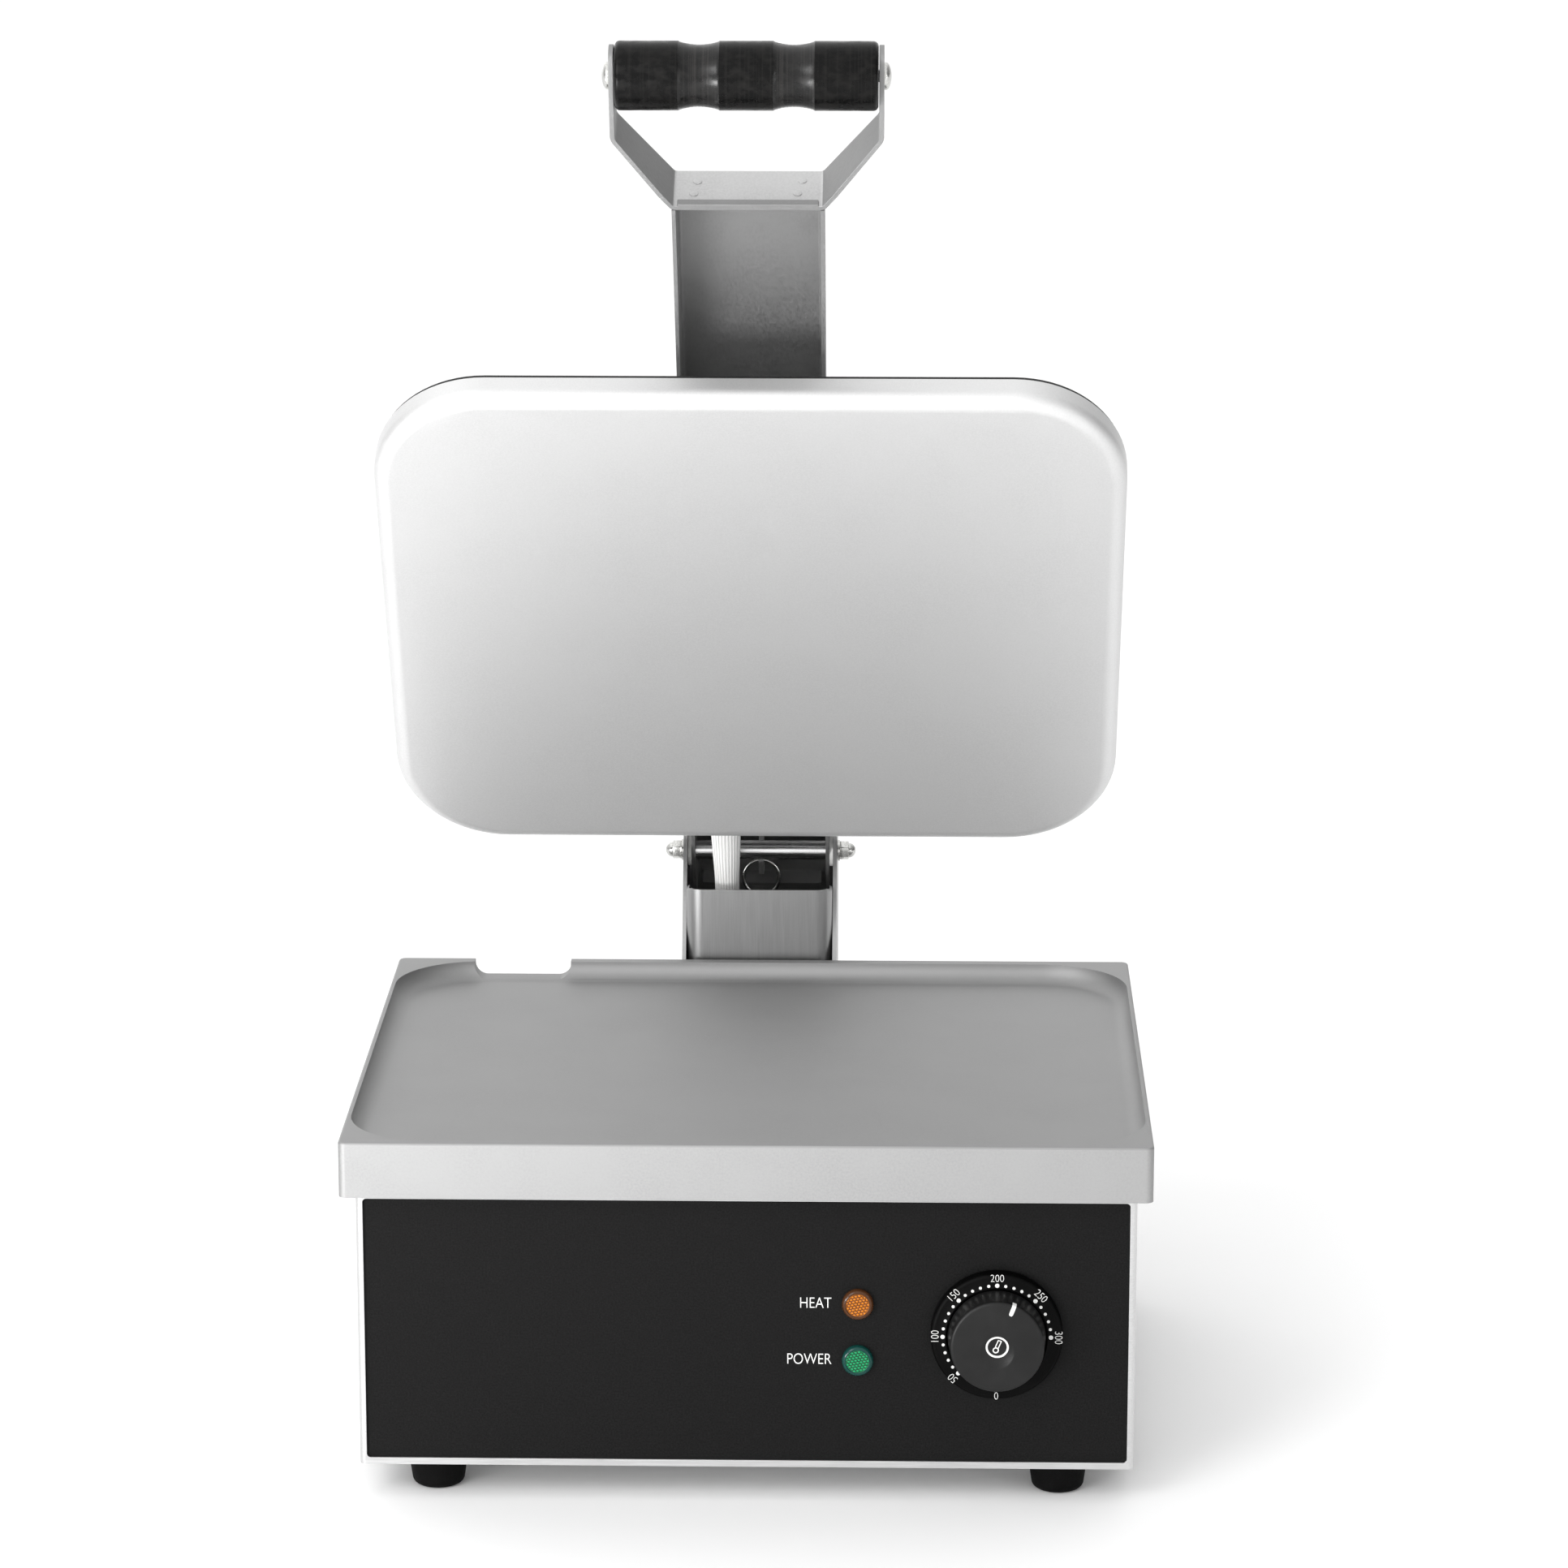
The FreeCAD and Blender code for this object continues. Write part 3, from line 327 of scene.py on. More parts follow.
def refine(node, name, *materials, edge, choose=None):
    # a merged copy of the node's own mesh, flat faces joined up, sharp edges kept and lightly broken
    mesh = bmesh.new()
    mesh.from_mesh(frame["nodes"][node].data)
    bmesh.ops.remove_doubles(mesh, verts=mesh.verts, dist=2e-6)
    bmesh.ops.dissolve_limit(mesh, angle_limit=math.radians(0.6), verts=mesh.verts, edges=mesh.edges)
    sharpen(mesh)
    if choose:
        for face in mesh.faces:
            face.material_index = choose(face)
    piece = finishMesh(mesh, name, *materials)
    if edge:
        softenEdges(piece, edge)
    return standFor(piece, node)


def spinProfile(outline, axisPoint, axis, steps):
    # the outline's points are spun once round the axis and closed up
    mesh = bmesh.new()
    verts = [mesh.verts.new(point) for point in outline]
    edges = [mesh.edges.new(pair) for pair in zip(verts, verts[1:])]
    bmesh.ops.spin(mesh, geom=verts + edges, cent=axisPoint, axis=axis, angle=math.tau, steps=steps,
                   use_merge=True)
    bmesh.ops.remove_doubles(mesh, verts=mesh.verts, dist=1e-6)
    bmesh.ops.recalc_face_normals(mesh, faces=mesh.faces)
    return mesh


def quarterTurns(steps):  # the angles of a quarter round, after its start
    return [math.radians(90 * step / steps) for step in range(1, steps + 1)]


hinge = next(joint for joint in frame["joints"] if joint["name"] == "lid_hinge")
pivot = Vector(hinge["pos_m"])
openTurn = math.radians(60)


def openPoint(y, z):
    # where a point of the shut lid, given from the pivot, lies with the lid open at rest
    return pivot + Vector((0, y * math.cos(openTurn) + z * math.sin(openTurn),
                           -y * math.sin(openTurn) + z * math.cos(openTurn)))


stripMiddle = openPoint(-0.4657, 0.007)  # the middle of the handle bracket's front strip
stripUp = openPoint(0, 1) - pivot
stripOut = openPoint(-1, 0) - pivot
stripLow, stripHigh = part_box("lid_arm")
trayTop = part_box("lower_tray")[1].z
finishLimits = {"steep": 0.35, "rimDrop": 0.0105, "stripInset": 0.001, "hemDrop": 0.0106}


def trayFinish(face):  # 0 for the pan, 1 for the skirt round it
    upright = abs(face.normal.z) < finishLimits["steep"]
    return 1 if upright and face.calc_center_median().z < trayTop - finishLimits["rimDrop"] else 0


def bracketFinish(face):  # the folded sides and the hem take the darker arm copy of the mill finish: painted shade, for faces turned away from the light
    middle = face.calc_center_median()
    inset = finishLimits["stripInset"]
    onStrip = stripLow.x + inset < middle.x < stripHigh.x - inset
    hem = onStrip and (middle - stripMiddle).dot(stripUp) < -finishLimits["hemDrop"]
    return 0 if onStrip and not hem else 1


refine("lower_tray", "tray", metals["pan"], metals["skirt"], edge=0.0005, choose=trayFinish)
refine("upper_platen", "upperPlaten", metals["face"], edge=0.0)
refine("upper_cover", "upperCover", metals["sheetX"], edge=0.0)
refine("upper_gasket", "upperGasket", silicone, edge=0.0003)
refine("base_housing", "housing", metals["sheetX"], edge=0.0003)
refine("bottom_plate", "bottomPlate", metals["sheetX"], edge=0.0)
refine("front_fascia", "fascia", powder, edge=0.0)
refine("hinge_column", "hingeColumn", metals["sheetZ"], edge=0.0002)
refine("column_cover", "columnCover", metals["sheetZ"], edge=0.0002)
refine("lid_arm", "lidArm", metals["arm"], edge=0.0002)
refine("spring_tab", "springTab", metals["bracket"], edge=0.0002)
# the bracket's front strip takes the lighter copy; its folded sides and hem take the darker copy as painted shade
refine("handle_bracket", "handleBracket", metals["bracket"], metals["arm"], edge=0.0003,
       choose=bracketFinish)
refine("plate_bracket", "plateBracket", metals["zinc"], edge=0.0003)
refine("hinge_rod", "hingeRod", metals["rod"], edge=0.0003)
refine("rubber_feet", "rubberFeet", rubberBlack, edge=0.0)
print("castings and sheet metal done")

plainNodes = {
    "zinc": ["element_clamps", "tray_screws", "foot_screws", "column_bolts", "spring_anchor",
             "handle_tie_rod", "tilt_pin", "tilt_pin_clips", "cover_screws"],
    "heater": ["lower_heating_element", "upper_heating_element"],
    "copper": ["thermostat_bulb", "thermostat_capillary"],
    "rod": ["thermostat_spindle"],
}
for metalName, nodeNames in plainNodes.items():
    for nodeName in nodeNames:
        refine(nodeName, nodeName + "Finished", metals[metalName], edge=0.0002)
for nodeName in ("lower_insulation", "upper_insulation"):
    refine(nodeName, nodeName + "Finished", wool, edge=0.0005)
for nodeName in ("thermostat", "cable_gland", "gland_nut", "sleeve_gland"):
    refine(nodeName, nodeName + "Finished", polyamide, edge=0.0003)
for nodeName in ("heat_lamp_holder", "power_lamp_holder", "terminal_block"):
    refine(nodeName, nodeName + "Finished", nylon, edge=0.0003)
refine("hinge_washers", "hingeWashers", ptfe, edge=0.0002)
print("inner parts done")


gripShape = {"bore": 0.0032, "endRound": 0.0026, "waistFrom": 0.0135, "waistTo": 0.0345, "waistDepth": 0.0019,
             "waistSteps": 24, "shoulder": 0.0006, "toolLine": 0.00006, "steps": 128}


def makeGrip():
    # a turned bar with two shallow finger waists, its tool lines left in them
    low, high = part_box("handle_grip")
    middle = (low + high) / 2
    half, full = (high.x - low.x) / 2, (high.z - low.z) / 2
    endRound = gripShape["endRound"]
    outline = [(half, gripShape["bore"]), (half, full - endRound)]
    for turn in quarterTurns(6):
        outline.append((half - endRound * (1 - math.cos(turn)), full - endRound * (1 - math.sin(turn))))
    start, end = gripShape["waistTo"], gripShape["waistFrom"]
    outline.append((start + gripShape["shoulder"], full))
    for step in range(gripShape["waistSteps"] + 1):
        share = step / gripShape["waistSteps"]
        dip = gripShape["waistDepth"] * math.sin(math.pi * share) ** 0.7
        line = gripShape["toolLine"] * (step % 2)
        outline.append((start + (end - start) * share, full - dip - line))
    outline.append((end - gripShape["shoulder"], full))
    outline += [(-x, radius) for x, radius in reversed(outline)]
    points = [Vector((middle.x + x, middle.y, middle.z + radius)) for x, radius in outline]
    mesh = spinProfile(points, middle, (1, 0, 0), gripShape["steps"])
    for face in mesh.faces:
        along = abs(face.calc_center_median().x - middle.x)
        face.material_index = 1 if end < along < start else 0
    standFor(finishMesh(sharpen(mesh, 20), "grip", bakelite, bakeliteWaist), "handle_grip")


def makeDome(radius, height, rim):
    # a low domed head standing on the XY plane
    outline = [Vector((radius, 0, 0)), Vector((radius, 0, rim))]
    for turn in quarterTurns(9)[:-1]:
        outline.append(Vector((radius * math.cos(turn), 0, rim + (height - rim) * math.sin(turn))))
    outline.append(Vector((0, 0, height)))
    return spinProfile(outline, (0, 0, 0), (0, 0, 1), 48)


boltHead = {"height": 0.0036, "rim": 0.0008}


def makeBoltHeads():
    low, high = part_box("handle_bolt_heads")
    middle = (low + high) / 2
    radius = (high.z - low.z) / 2
    mesh = bmesh.new()
    for side in (-1, 1):
        dome = makeDome(radius, boltHead["height"], boltHead["rim"])
        bmesh.ops.transform(dome, verts=dome.verts, matrix=Matrix.Rotation(side * math.pi / 2, 4, "Y"))
        seat = high.x - boltHead["height"] if side > 0 else low.x + boltHead["height"]
        bmesh.ops.translate(dome, verts=dome.verts, vec=(seat, middle.y, middle.z))
        mergeInto(mesh, dome)
    bmesh.ops.recalc_face_normals(mesh, faces=mesh.faces)
    standFor(finishMesh(sharpen(mesh, 40), "boltHeads", metals["nut"]), "handle_bolt_heads")


weldSpots = [(-0.0262, 0.0058), (-0.0278, -0.0042), (0.0275, 0.0068), (0.0252, -0.0038)]
weldShape = {"radius": 0.0023, "height": 0.0003, "rim": 0.00008}


def makeWeldMarks():
    # four resistance welds hold the bracket's strip to the arm: faint round spots proud of its face
    middleX = (stripLow.x + stripHigh.x) / 2
    facing = stripOut.to_track_quat("Z", "Y").to_matrix().to_4x4()
    mesh = bmesh.new()
    for across, up in weldSpots:
        spot = stripMiddle + stripUp * up
        dot = makeDome(weldShape["radius"], weldShape["height"], weldShape["rim"])
        bmesh.ops.transform(dot, verts=dot.verts, matrix=facing)
        bmesh.ops.translate(dot, verts=dot.verts, vec=(middleX + across, spot.y, spot.z))
        mergeInto(mesh, dot)
    bmesh.ops.recalc_face_normals(mesh, faces=mesh.faces)
    piece = finishMesh(mesh, "weldMarks", metals["bracket"])
    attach(piece, "lid")


makeGrip()
makeBoltHeads()
makeWeldMarks()
print("handle done")


nutShape = {"hex": 0.0054, "hexDepth": 0.0050, "hexMiddle": 0.0037, "hexEdge": 0.0004, "dome": 0.0042,
            "domeRim": 0.0003, "domeSeat": 0.0060, "washer": 0.0060, "washerDepth": 0.0012, "seat": 0.0438}


def makeCapNuts():
    low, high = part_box("hinge_cap_nuts")
    middle = (low + high) / 2
    mesh = bmesh.new()
    for side in (-1, 1):
        nut = bmesh.new()
        corner = Matrix.Rotation(math.radians(30), 4, "Z")
        bmesh.ops.create_cone(nut, cap_ends=True, segments=6, radius1=nutShape["hex"],
                              radius2=nutShape["hex"], depth=nutShape["hexDepth"],
                              matrix=Matrix.Translation((0, 0, nutShape["hexMiddle"])) @ corner)
        bmesh.ops.bevel(nut, geom=nut.edges[:], offset=nutShape["hexEdge"], offset_type="OFFSET",
                        affect="EDGES", segments=2, profile=0.5, material=-1)
        dome = makeDome(nutShape["dome"], nutShape["dome"], nutShape["domeRim"])
        bmesh.ops.translate(dome, verts=dome.verts, vec=(0, 0, nutShape["domeSeat"]))
        mergeInto(nut, dome)
        washer = bmesh.new()
        bmesh.ops.create_cone(washer, cap_ends=True, segments=48, radius1=nutShape["washer"],
                              radius2=nutShape["washer"], depth=nutShape["washerDepth"],
                              matrix=Matrix.Translation((0, 0, nutShape["washerDepth"] / 2)))
        mergeInto(nut, washer)
        bmesh.ops.transform(nut, verts=nut.verts, matrix=Matrix.Rotation(side * math.pi / 2, 4, "Y"))
        seat = middle.x + side * nutShape["seat"]
        bmesh.ops.translate(nut, verts=nut.verts, vec=(seat, middle.y, middle.z))
        mergeInto(mesh, nut)
    bmesh.ops.recalc_face_normals(mesh, faces=mesh.faces)
    standFor(finishMesh(sharpen(mesh, 35), "capNuts", metals["nut"]), "hinge_cap_nuts")


springShape = {"wire": 0.0024, "turns": 26, "stepsPerTurn": 20, "leadIn": 8}


def makeSpring():
    low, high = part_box("balance_spring")
    middle = (low + high) / 2
    wire = springShape["wire"] / 2
    radius = (high.x - low.x) / 2 - wire
    eyeLow, eyeHigh = low.z + wire + radius, high.z - wire - radius
    coilLow, coilHigh = eyeLow + radius, eyeHigh - radius
    perTurn = springShape["stepsPerTurn"]

    def eye(centre, start):  # once round in its upright plane
        turns = [math.radians(start) + math.tau * step / perTurn for step in range(perTurn + 1)]
        return [Vector((middle.x + radius * math.cos(turn), middle.y, centre + radius * math.sin(turn)))
                for turn in turns]

    points = eye(eyeLow, 90)
    total = springShape["turns"] * perTurn
    for step in range(total + 1):  # the coil opens out from the lower eye and closes in to the upper one
        turn = math.tau * step / perTurn
        reach = radius * min(1, step / springShape["leadIn"], (total - step) / springShape["leadIn"])
        points.append(Vector((middle.x + reach * math.sin(turn), middle.y - reach * math.cos(turn),
                              coilLow + (coilHigh - coilLow) * step / total)))
    points += eye(eyeHigh, -90)
    curve = bpy.data.curves.new("springLine", "CURVE")
    curve.dimensions = "3D"
    curve.bevel_depth = wire
    curve.bevel_resolution = 3
    spline = curve.splines.new("POLY")
    spline.points.add(len(points) - 1)
    for knot, point in zip(spline.points, points):
        knot.co = (*point, 1)
    piece = finishMesh(takeCurve(curve), "balanceSpring", metals["nut"])
    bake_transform(piece)
    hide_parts("balance_spring")


# the sleeve's route, from its gland on the lid down into the column
sleeveRoute = [(-0.021, 0.1168, 0.2947), (-0.021, 0.1367, 0.2602), (-0.021, 0.1600, 0.2290),
               (-0.021, 0.1605, 0.1950), (-0.021, 0.1605, 0.1630)]
sleeveShape = {"low": 0.0068, "high": 0.0084, "widens": 0.225, "over": 0.05, "ribs": 26, "ribDepth": 0.0003,
               "around": 156, "diameter": 0.0152}


def makeSleeve():
    curve = bpy.data.curves.new("sleeveLine", "CURVE")
    curve.dimensions = "3D"
    curve.resolution_u = 16
    spline = curve.splines.new("NURBS")
    spline.points.add(len(sleeveRoute) - 1)
    for knot, point in zip(spline.points, sleeveRoute):
        knot.co = (*point, 1)
    spline.order_u = 3
    spline.use_endpoint_u = True
    route = takeCurve(curve)
    line = [vertex.co.copy() for vertex in route.verts]
    route.free()
    mesh = bmesh.new()
    heights, rings = [], []
    sideways = Vector((1, 0, 0))
    for index, point in enumerate(line):
        ahead = line[min(index + 1, len(line) - 1)] - line[max(index - 1, 0)]
        outward = sideways.cross(ahead).normalized()
        share = max(0.0, min(1.0, (point.z - sleeveShape["widens"]) / sleeveShape["over"]))
        eased = share * share * (3 - 2 * share)
        radius = sleeveShape["low"] + (sleeveShape["high"] - sleeveShape["low"]) * eased
        ring = []
        for step in range(sleeveShape["around"]):
            turn = math.tau * step / sleeveShape["around"]
            rib = abs(math.cos(turn * sleeveShape["ribs"] / 2)) ** 0.6
            reach = radius - sleeveShape["ribDepth"] * (1 - rib)
            ring.append(mesh.verts.new(point + sideways * math.cos(turn) * reach
                                       + outward * math.sin(turn) * reach))
            heights.append(rib)
        rings.append(ring)
    for lower, upper in zip(rings, rings[1:]):
        for a, b, c, d in zip(lower, lower[1:] + lower[:1], upper[1:] + upper[:1], upper):
            mesh.faces.new((a, b, c, d))
    for ring in (rings[0], rings[-1]):
        mesh.faces.new(ring)
    bmesh.ops.recalc_face_normals(mesh, faces=mesh.faces)
    piece = finishMesh(mesh, "wiringSleeve", braid)
    # the rib heights also set the braid's painted shade in the grooves
    attribute = piece.data.attributes.new("ribHeight", "FLOAT", "POINT")
    attribute.data.foreach_set("value", heights)
    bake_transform(piece)
    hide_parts("wiring_sleeve")


makeCapNuts()
makeSpring()
makeSleeve()
print("hinge done")


bezelLow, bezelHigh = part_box("dial_bezel")
dialCentre = Vector(((bezelLow.x + bezelHigh.x) / 2, bezelLow.y, (bezelLow.z + bezelHigh.z) / 2))
dialShape = {"hole": 0.0256, "rimRound": 0.0022, "dotRadius": 0.0274, "bigDot": 0.00112, "smallDot": 0.0008,
             "numeral": 0.0040, "numeralRadius": 0.0311, "narrow": 0.84}
dialScale = {"from": -135, "to": 90, "step": 9, "dotsPerNumber": 5, "lowest": 50, "perDot": 10, "zeroAt": 180}
printing = {"raised": 0.00012, "capShare": 0.7, "thinned": -0.00009, "label": 0.0058, "labelNarrow": 0.8,
            "labelGap": 0.0052}


def dialPoint(radius, degrees, lift=0.0):
    turn = math.radians(degrees)
    return dialCentre + Vector((radius * math.sin(turn), -lift, radius * math.cos(turn)))


def makeBezel():
    radius = (bezelHigh.x - bezelLow.x) / 2
    thick = bezelHigh.y - bezelLow.y
    hole, rimRound = dialShape["hole"], dialShape["rimRound"]
    outline = [(hole - 0.0006, thick - 0.0004), (radius, thick - 0.0001), (radius, rimRound)]
    for turn in quarterTurns(6):
        outline.append((radius - rimRound * (1 - math.cos(turn)), rimRound * (1 - math.sin(turn))))
    outline += [(hole + 0.0009, 0.0), (hole + 0.0005, -0.00025), (hole, -0.0001), (hole - 0.0003, 0.0006),
                (hole - 0.0006, thick - 0.0004)]
    points = [dialCentre + Vector((r, y, 0)) for r, y in outline]
    mesh = spinProfile(points, dialCentre, (0, 1, 0), 128)
    standFor(finishMesh(sharpen(mesh, 35), "dialBezel", dialPlastic), "dial_bezel")


def printText(words, height, place, turn, narrow, align="CENTER"):
    # printed lettering: flat outlines given a hair of thickness, facing the front
    curve = bpy.data.curves.new("lettering", "FONT")
    curve.body = words
    curve.size = height / printing["capShare"]
    curve.extrude = printing["raised"] / 2
    curve.offset = printing["thinned"]
    curve.align_x = align
    curve.align_y = "CENTER"
    mesh = takeCurve(curve)
    upright = Matrix.Rotation(math.pi / 2, 4, "X") @ Matrix.Diagonal((narrow, 1, 1, 1))
    lean = Matrix.Rotation(turn, 4, "Y")
    bmesh.ops.transform(mesh, verts=mesh.verts, matrix=Matrix.Translation(place) @ lean @ upright)
    return mesh


def addDisc(mesh, radius, place, thick):
    bmesh.ops.create_cone(mesh, cap_ends=True, segments=24, radius1=radius, radius2=radius, depth=thick,
                          matrix=Matrix.Translation(place) @ Matrix.Rotation(math.pi / 2, 4, "X"))


def makeDialMarks():
    mesh = bmesh.new()
    lift = printing["raised"] / 2

    def addNumber(number, degrees):
        place = dialPoint(dialShape["numeralRadius"], degrees, lift)
        mergeInto(mesh, printText(str(number), dialShape["numeral"], place, math.radians(degrees),
                                  dialShape["narrow"]))

    marks = range(dialScale["from"], dialScale["to"] + 1, dialScale["step"])
    for index, degrees in enumerate(marks):
        big = index % dialScale["dotsPerNumber"] == 0
        addDisc(mesh, dialShape["bigDot"] if big else dialShape["smallDot"],
                dialPoint(dialShape["dotRadius"], degrees, lift), printing["raised"])
        if big:
            addNumber(dialScale["lowest"] + dialScale["perDot"] * index, degrees)
    addNumber(0, dialScale["zeroAt"])
    piece = finishMesh(mesh, "dialMarks", whitePrint, smooth=False)
    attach(piece, "base")


knobShape = {"bore": 0.0031, "taper": 0.0012, "edge": 0.0016, "dimple": 0.0085, "dimpleDepth": 0.0016,
             "dimpleDrop": 0.0028, "rings": 40, "pointerAngle": 21, "pointerHalf": 0.00105,
             "pointerLift": 0.00018}
iconShape = {"ring": 0.0058, "ringInner": 0.83, "bulb": 0.0016, "bulbInner": 0.62, "bulbDrop": 0.0020,
             "line": 0.00025, "stem": 0.0021, "ink": 0.00012}


def dimpleAt(x, z):  # how far the knob's face sinks at a point measured from its middle
    share = min(1.0, math.hypot(x, z + knobShape["dimpleDrop"]) / knobShape["dimple"])
    return knobShape["dimpleDepth"] * (1 - share * share)


def makeKnob():
    low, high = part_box("control_knob")
    centre = Vector((dialCentre.x, 0, dialCentre.z))
    back, front = high.y, low.y
    outer = (high.x - low.x) / 2
    face = outer - knobShape["taper"]
    outline = [(knobShape["bore"], back), (outer, back), (outer - 0.0004, back - 0.003),
               (face + 0.0003, front + 0.003)]
    for step, turn in enumerate(quarterTurns(6), 1):
        outline.append((face - knobShape["edge"] * (1 - math.cos(turn)) + 0.0002 * (1 - step / 6),
                        front + knobShape["edge"] * (1 - math.sin(turn))))
    reach = knobShape["dimple"] + knobShape["dimpleDrop"]
    rings = knobShape["rings"]
    outline += [(reach * (1 - ring / rings), front) for ring in range(rings + 1)]
    points = [centre + Vector((radius, y, 0)) for radius, y in outline]
    mesh = spinProfile(points, centre, (0, 1, 0), 128)
    for vertex in mesh.verts:
        if abs(vertex.co.y - front) < 1e-6:
            vertex.co.y += dimpleAt(vertex.co.x - centre.x, vertex.co.z - centre.z)
    standFor(finishMesh(sharpen(mesh, 40), "knob", knobPlastic), "control_knob")


def makePointer():
    # a painted index that runs over the face's rounded edge
    low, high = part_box("control_knob")
    front = low.y
    face = (high.x - low.x) / 2 - knobShape["taper"]
    edge = knobShape["edge"]
    path = [(face - 0.0056, front, 0, 0.55), (face - 0.0050, front, 0, 0.9), (face - 0.0044, front, 0, 1),
            (face - edge, front, 0, 1)]
    for turn in quarterTurns(5)[:-1]:
        path.append((face - edge * (1 - math.sin(turn)), front + edge * (1 - math.cos(turn)), turn, 1))
    path.append((face + 0.0003, front + 0.0034, math.pi / 2, 1))
    mesh = bmesh.new()
    rows = []
    for radius, y, turn, width in path:
        half = knobShape["pointerHalf"] * width
        outward = Vector((0, -math.cos(turn), math.sin(turn))) * knobShape["pointerLift"]
        spot = Vector((0, y, radius))
        rows.append([mesh.verts.new(spot + outward * reach + Vector((side * half, 0, 0)))
                     for side, reach in ((-1, 1), (1, 1), (1, -2), (-1, -2))])
    for first, second in zip(rows, rows[1:]):
        for step in range(4):
            after = (step + 1) % 4
            mesh.faces.new((first[step], first[after], second[after], second[step]))
    mesh.faces.new(rows[0])
    mesh.faces.new(rows[-1])
    bmesh.ops.recalc_face_normals(mesh, faces=mesh.faces)
    turn = Matrix.Rotation(math.radians(knobShape["pointerAngle"]), 4, "Y")
    bmesh.ops.transform(mesh, verts=mesh.verts,
                        matrix=Matrix.Translation((dialCentre.x, 0, dialCentre.z)) @ turn)
    standFor(finishMesh(sharpen(mesh, 40), "pointer", whitePrint), "knob_pointer")


def flatRing(radius, inner, segments):
    mesh = bmesh.new()
    bmesh.ops.create_circle(mesh, cap_ends=False, segments=segments, radius=radius)
    grown = bmesh.ops.extrude_edge_only(mesh, edges=mesh.edges[:])
    inside = [item for item in grown["geom"] if isinstance(item, bmesh.types.BMVert)]
    bmesh.ops.scale(mesh, verts=inside, vec=(inner, inner, 1))
    return mesh


def addBar(mesh, cuts, half, place):
    bar = bmesh.new()
    bmesh.ops.create_grid(bar, x_segments=cuts[0], y_segments=cuts[1], size=1)
    bmesh.ops.scale(bar, verts=bar.verts, vec=(*half, 1))
    bmesh.ops.translate(bar, verts=bar.verts, vec=(*place, 0))
    mergeInto(mesh, bar)


def makeKnobIcon():
    # a ring round a plain thermometer outline, printed in the dimple
    low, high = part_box("control_knob")
    ink, line = iconShape["ink"], iconShape["line"]
    mesh = flatRing(iconShape["ring"], iconShape["ringInner"], 64)
    bulb = flatRing(iconShape["bulb"], iconShape["bulbInner"], 24)
    bmesh.ops.translate(bulb, verts=bulb.verts, vec=(0, -iconShape["bulbDrop"], 0))
    mergeInto(mesh, bulb)
    for side in (-1, 1):
        addBar(mesh, (1, 6), (line, iconShape["stem"]), (side * 0.0008, 0.0014))
    addBar(mesh, (4, 1), (0.00105, line), (0, 0.0036))
    spin = Matrix.Rotation(math.radians(knobShape["pointerAngle"]), 4, "Y")
    upright = Matrix.Rotation(math.pi / 2, 4, "X")
    bmesh.ops.transform(mesh, verts=mesh.verts, matrix=spin @ upright)
    for vertex in mesh.verts:
        vertex.co.y = low.y + dimpleAt(vertex.co.x, vertex.co.z) - ink
    bmesh.ops.recalc_face_normals(mesh, faces=mesh.faces)
    bmesh.ops.solidify(mesh, geom=mesh.faces[:], thickness=ink)
    bmesh.ops.translate(mesh, verts=mesh.verts, vec=(dialCentre.x, 0, dialCentre.z))
    bmesh.ops.recalc_face_normals(mesh, faces=mesh.faces)
    piece = finishMesh(mesh, "knobIcon", whitePrint, smooth=False)
    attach(piece, "dial")


lensShape = {"core": 0.0057, "column": 0.0018, "row": 0.0014, "lean": 0.2, "relief": 0.00035, "rings": 48,
             "steps": 200}


def makeLens(lamp):
    # a rounded rim round a core of small pyramids in staggered rows, which lean a little
    node = lamp + "_lamp_lens"
    low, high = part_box(node)
    centre = Vector(((low.x + high.x) / 2, 0, (low.z + high.z) / 2))
    radius = (high.x - low.x) / 2
    front, back = low.y, high.y
    core, lean = lensShape["core"], lensShape["lean"]
    outline = [(radius, back), (radius, front + 0.0016), (radius - 0.0005, front + 0.0006),
               (radius - 0.0012, front + 0.0001), (core + 0.0006, front), (core + 0.0002, front + 0.0004)]
    rings = lensShape["rings"]
    for ring in range(rings + 1):
        outline.append((core * (1 - ring / rings), front + 0.0003))
    points = [centre + Vector((r, y, 0)) for r, y in outline]
    mesh = spinProfile(points, centre, (0, 1, 0), lensShape["steps"])
    heights = []
    for vertex in mesh.verts:
        heights.append(0.5)
        flat = Vector((vertex.co.x - centre.x, 0, vertex.co.z - centre.z))
        if flat.length < core - 0.0001 and vertex.co.y < front + 0.001:
            row = (flat.z - lean * flat.x) / lensShape["row"]
            shift = 0.5 * (math.floor(row) % 2)
            across = abs(math.sin(math.pi * ((flat.x + lean * flat.z) / lensShape["column"] + shift)))
            down = abs(math.sin(math.pi * row))
            heights[-1] = min(1.0, 1.3 * across * down)
            vertex.co.y += lensShape["relief"] * (1 - heights[-1])
    for face in mesh.faces:
        middle = face.calc_center_median()
        inCore = math.hypot(middle.x - centre.x, middle.z - centre.z) < core + 0.0001
        face.material_index = 1 if inCore and middle.y < front + 0.002 else 0
    piece = standFor(finishMesh(sharpen(mesh, 50), lamp + "Lens", *lenses[lamp]), node)
    # the ridge heights also drive the painted highlight and shade in the core's colour
    attribute = piece.data.attributes.new("ridgeHeight", "FLOAT", "POINT")
    attribute.data.foreach_set("value", heights)


def makeLabels():
    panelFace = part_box("front_fascia")[0].y
    for lamp, words in (("heat", "HEAT"), ("power", "POWER")):
        low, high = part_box(lamp + "_lamp_lens")
        place = Vector((low.x - printing["labelGap"], panelFace - printing["raised"] / 2,
                        (low.z + high.z) / 2))
        mesh = printText(words, printing["label"], place, 0.0, printing["labelNarrow"], "RIGHT")
        piece = finishMesh(mesh, lamp + "Label", whitePrint, smooth=False)
        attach(piece, "base")


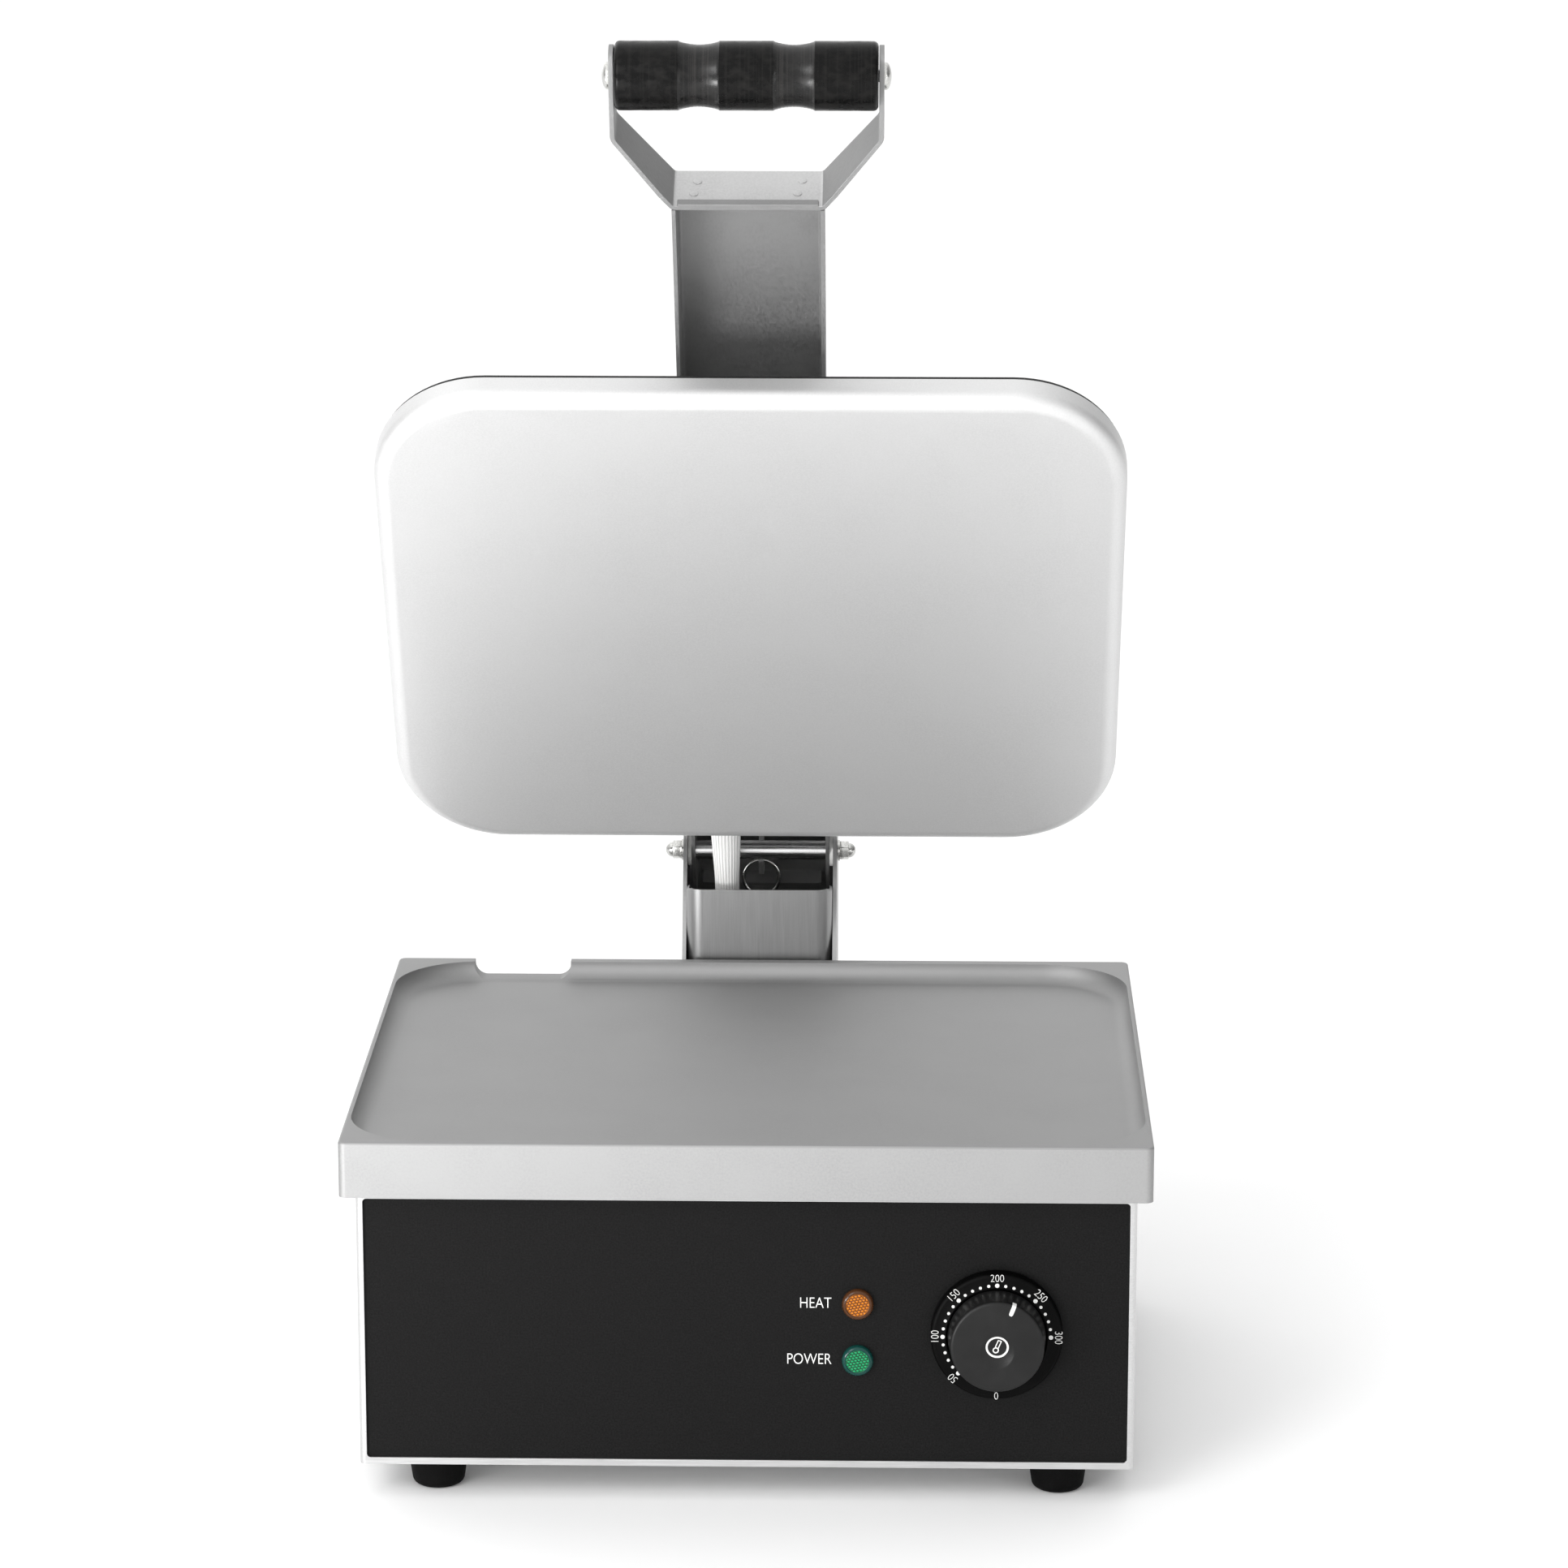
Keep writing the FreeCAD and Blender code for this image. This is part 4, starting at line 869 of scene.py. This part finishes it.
makeBezel()
makeDialMarks()
makeKnob()
makePointer()
makeKnobIcon()
makeLens("heat")
makeLens("power")
makeLabels()
print("control panel done")


studio = {"floor": "fcfcfc", "floorHalf": 12, "floorDrop": 0.0002, "worldLeft": 1.85, "worldRight": 0.62,
          "wallFrom": 0.45, "sideWall": 0.3}


def makeFloor():
    mesh = bmesh.new()
    bmesh.ops.create_grid(mesh, x_segments=1, y_segments=1, size=studio["floorHalf"])
    bmesh.ops.translate(mesh, verts=mesh.verts, vec=(0, 0, -studio["floorDrop"]))
    material, tree, shader = startMaterial("pale studio floor", {"Roughness": 0.9})
    shader.inputs["Base Color"].default_value = hexColour(studio["floor"])
    piece = finishMesh(mesh, "studioFloor", material)


panels = {
    "frontKey": {"place": (-1.5, -2.3, 1.9), "target": (0, 0, 0.35), "width": 1.2, "height": 1.2,
                 "power": 26},
    "lowLeft": {"place": (-1.1, -1.5, 0.12), "target": (-0.15, 0, 0.55), "width": 0.9, "height": 0.5,
                "power": 27},
    "rightEdge": {"place": (1.7, -1.9, 0.7), "target": (0, 0.1, 0.3), "width": 0.12, "height": 1.3,
                  "power": 5},
}


def addPanel(name, place, target, width, height, power):
    light = bpy.data.lights.new(name, "AREA")
    light.shape = "RECTANGLE"
    light.size, light.size_y = width, height
    light.energy = power
    lamp = bpy.data.objects.new(name, light)
    lamp.location = place
    lamp.rotation_euler = (Vector(target) - Vector(place)).to_track_quat("-Z", "Y").to_euler()
    scene.collection.objects.link(lamp)


def makeWorld():
    # a white room, brighter to the object's left, and darker towards both side walls so that turned edges
    # read darker than the faces
    world = bpy.data.worlds.new("soft white room")
    world.use_nodes = True
    tree = world.node_tree
    background = tree.nodes["Background"]
    background.inputs["Color"].default_value = hexColour("ffffff")
    toward = addNode(tree, "ShaderNodeTexCoord")
    parts = addNode(tree, "ShaderNodeSeparateXYZ", links={"Vector": toward.outputs["Generated"]})
    strength = spread(tree, parts.outputs["X"], -1, 1, studio["worldLeft"], studio["worldRight"])
    sideways = addNode(tree, "ShaderNodeMath", {"operation": "ABSOLUTE"}, {0: parts.outputs["X"]})
    wall = spread(tree, sideways.outputs[0], studio["wallFrom"], 1, 1, studio["sideWall"])
    dimmed = addNode(tree, "ShaderNodeMath", {"operation": "MULTIPLY"}, {0: strength, 1: wall})
    tree.links.new(dimmed.outputs[0], background.inputs["Strength"])
    scene.world = world


cameraPlace = {"from": (0.0779, -2.8623, 1.0186), "towards": (0.0146, 0.0, 0.3265), "lens": 126.6,
               "sensor": 36}


def makeCamera():
    data = bpy.data.cameras.new("camera")
    data.lens = cameraPlace["lens"]
    data.sensor_width = cameraPlace["sensor"]
    camera = bpy.data.objects.new("camera", data)
    camera.location = cameraPlace["from"]
    aim = Vector(cameraPlace["towards"]) - Vector(cameraPlace["from"])
    camera.rotation_euler = aim.to_track_quat("-Z", "Y").to_euler()
    scene.collection.objects.link(camera)
    scene.camera = camera


makeFloor()
makeWorld()
for panelName, panel in panels.items():
    addPanel(panelName, **panel)
makeCamera()
scene.view_settings.view_transform = "Standard"
print("studio done")
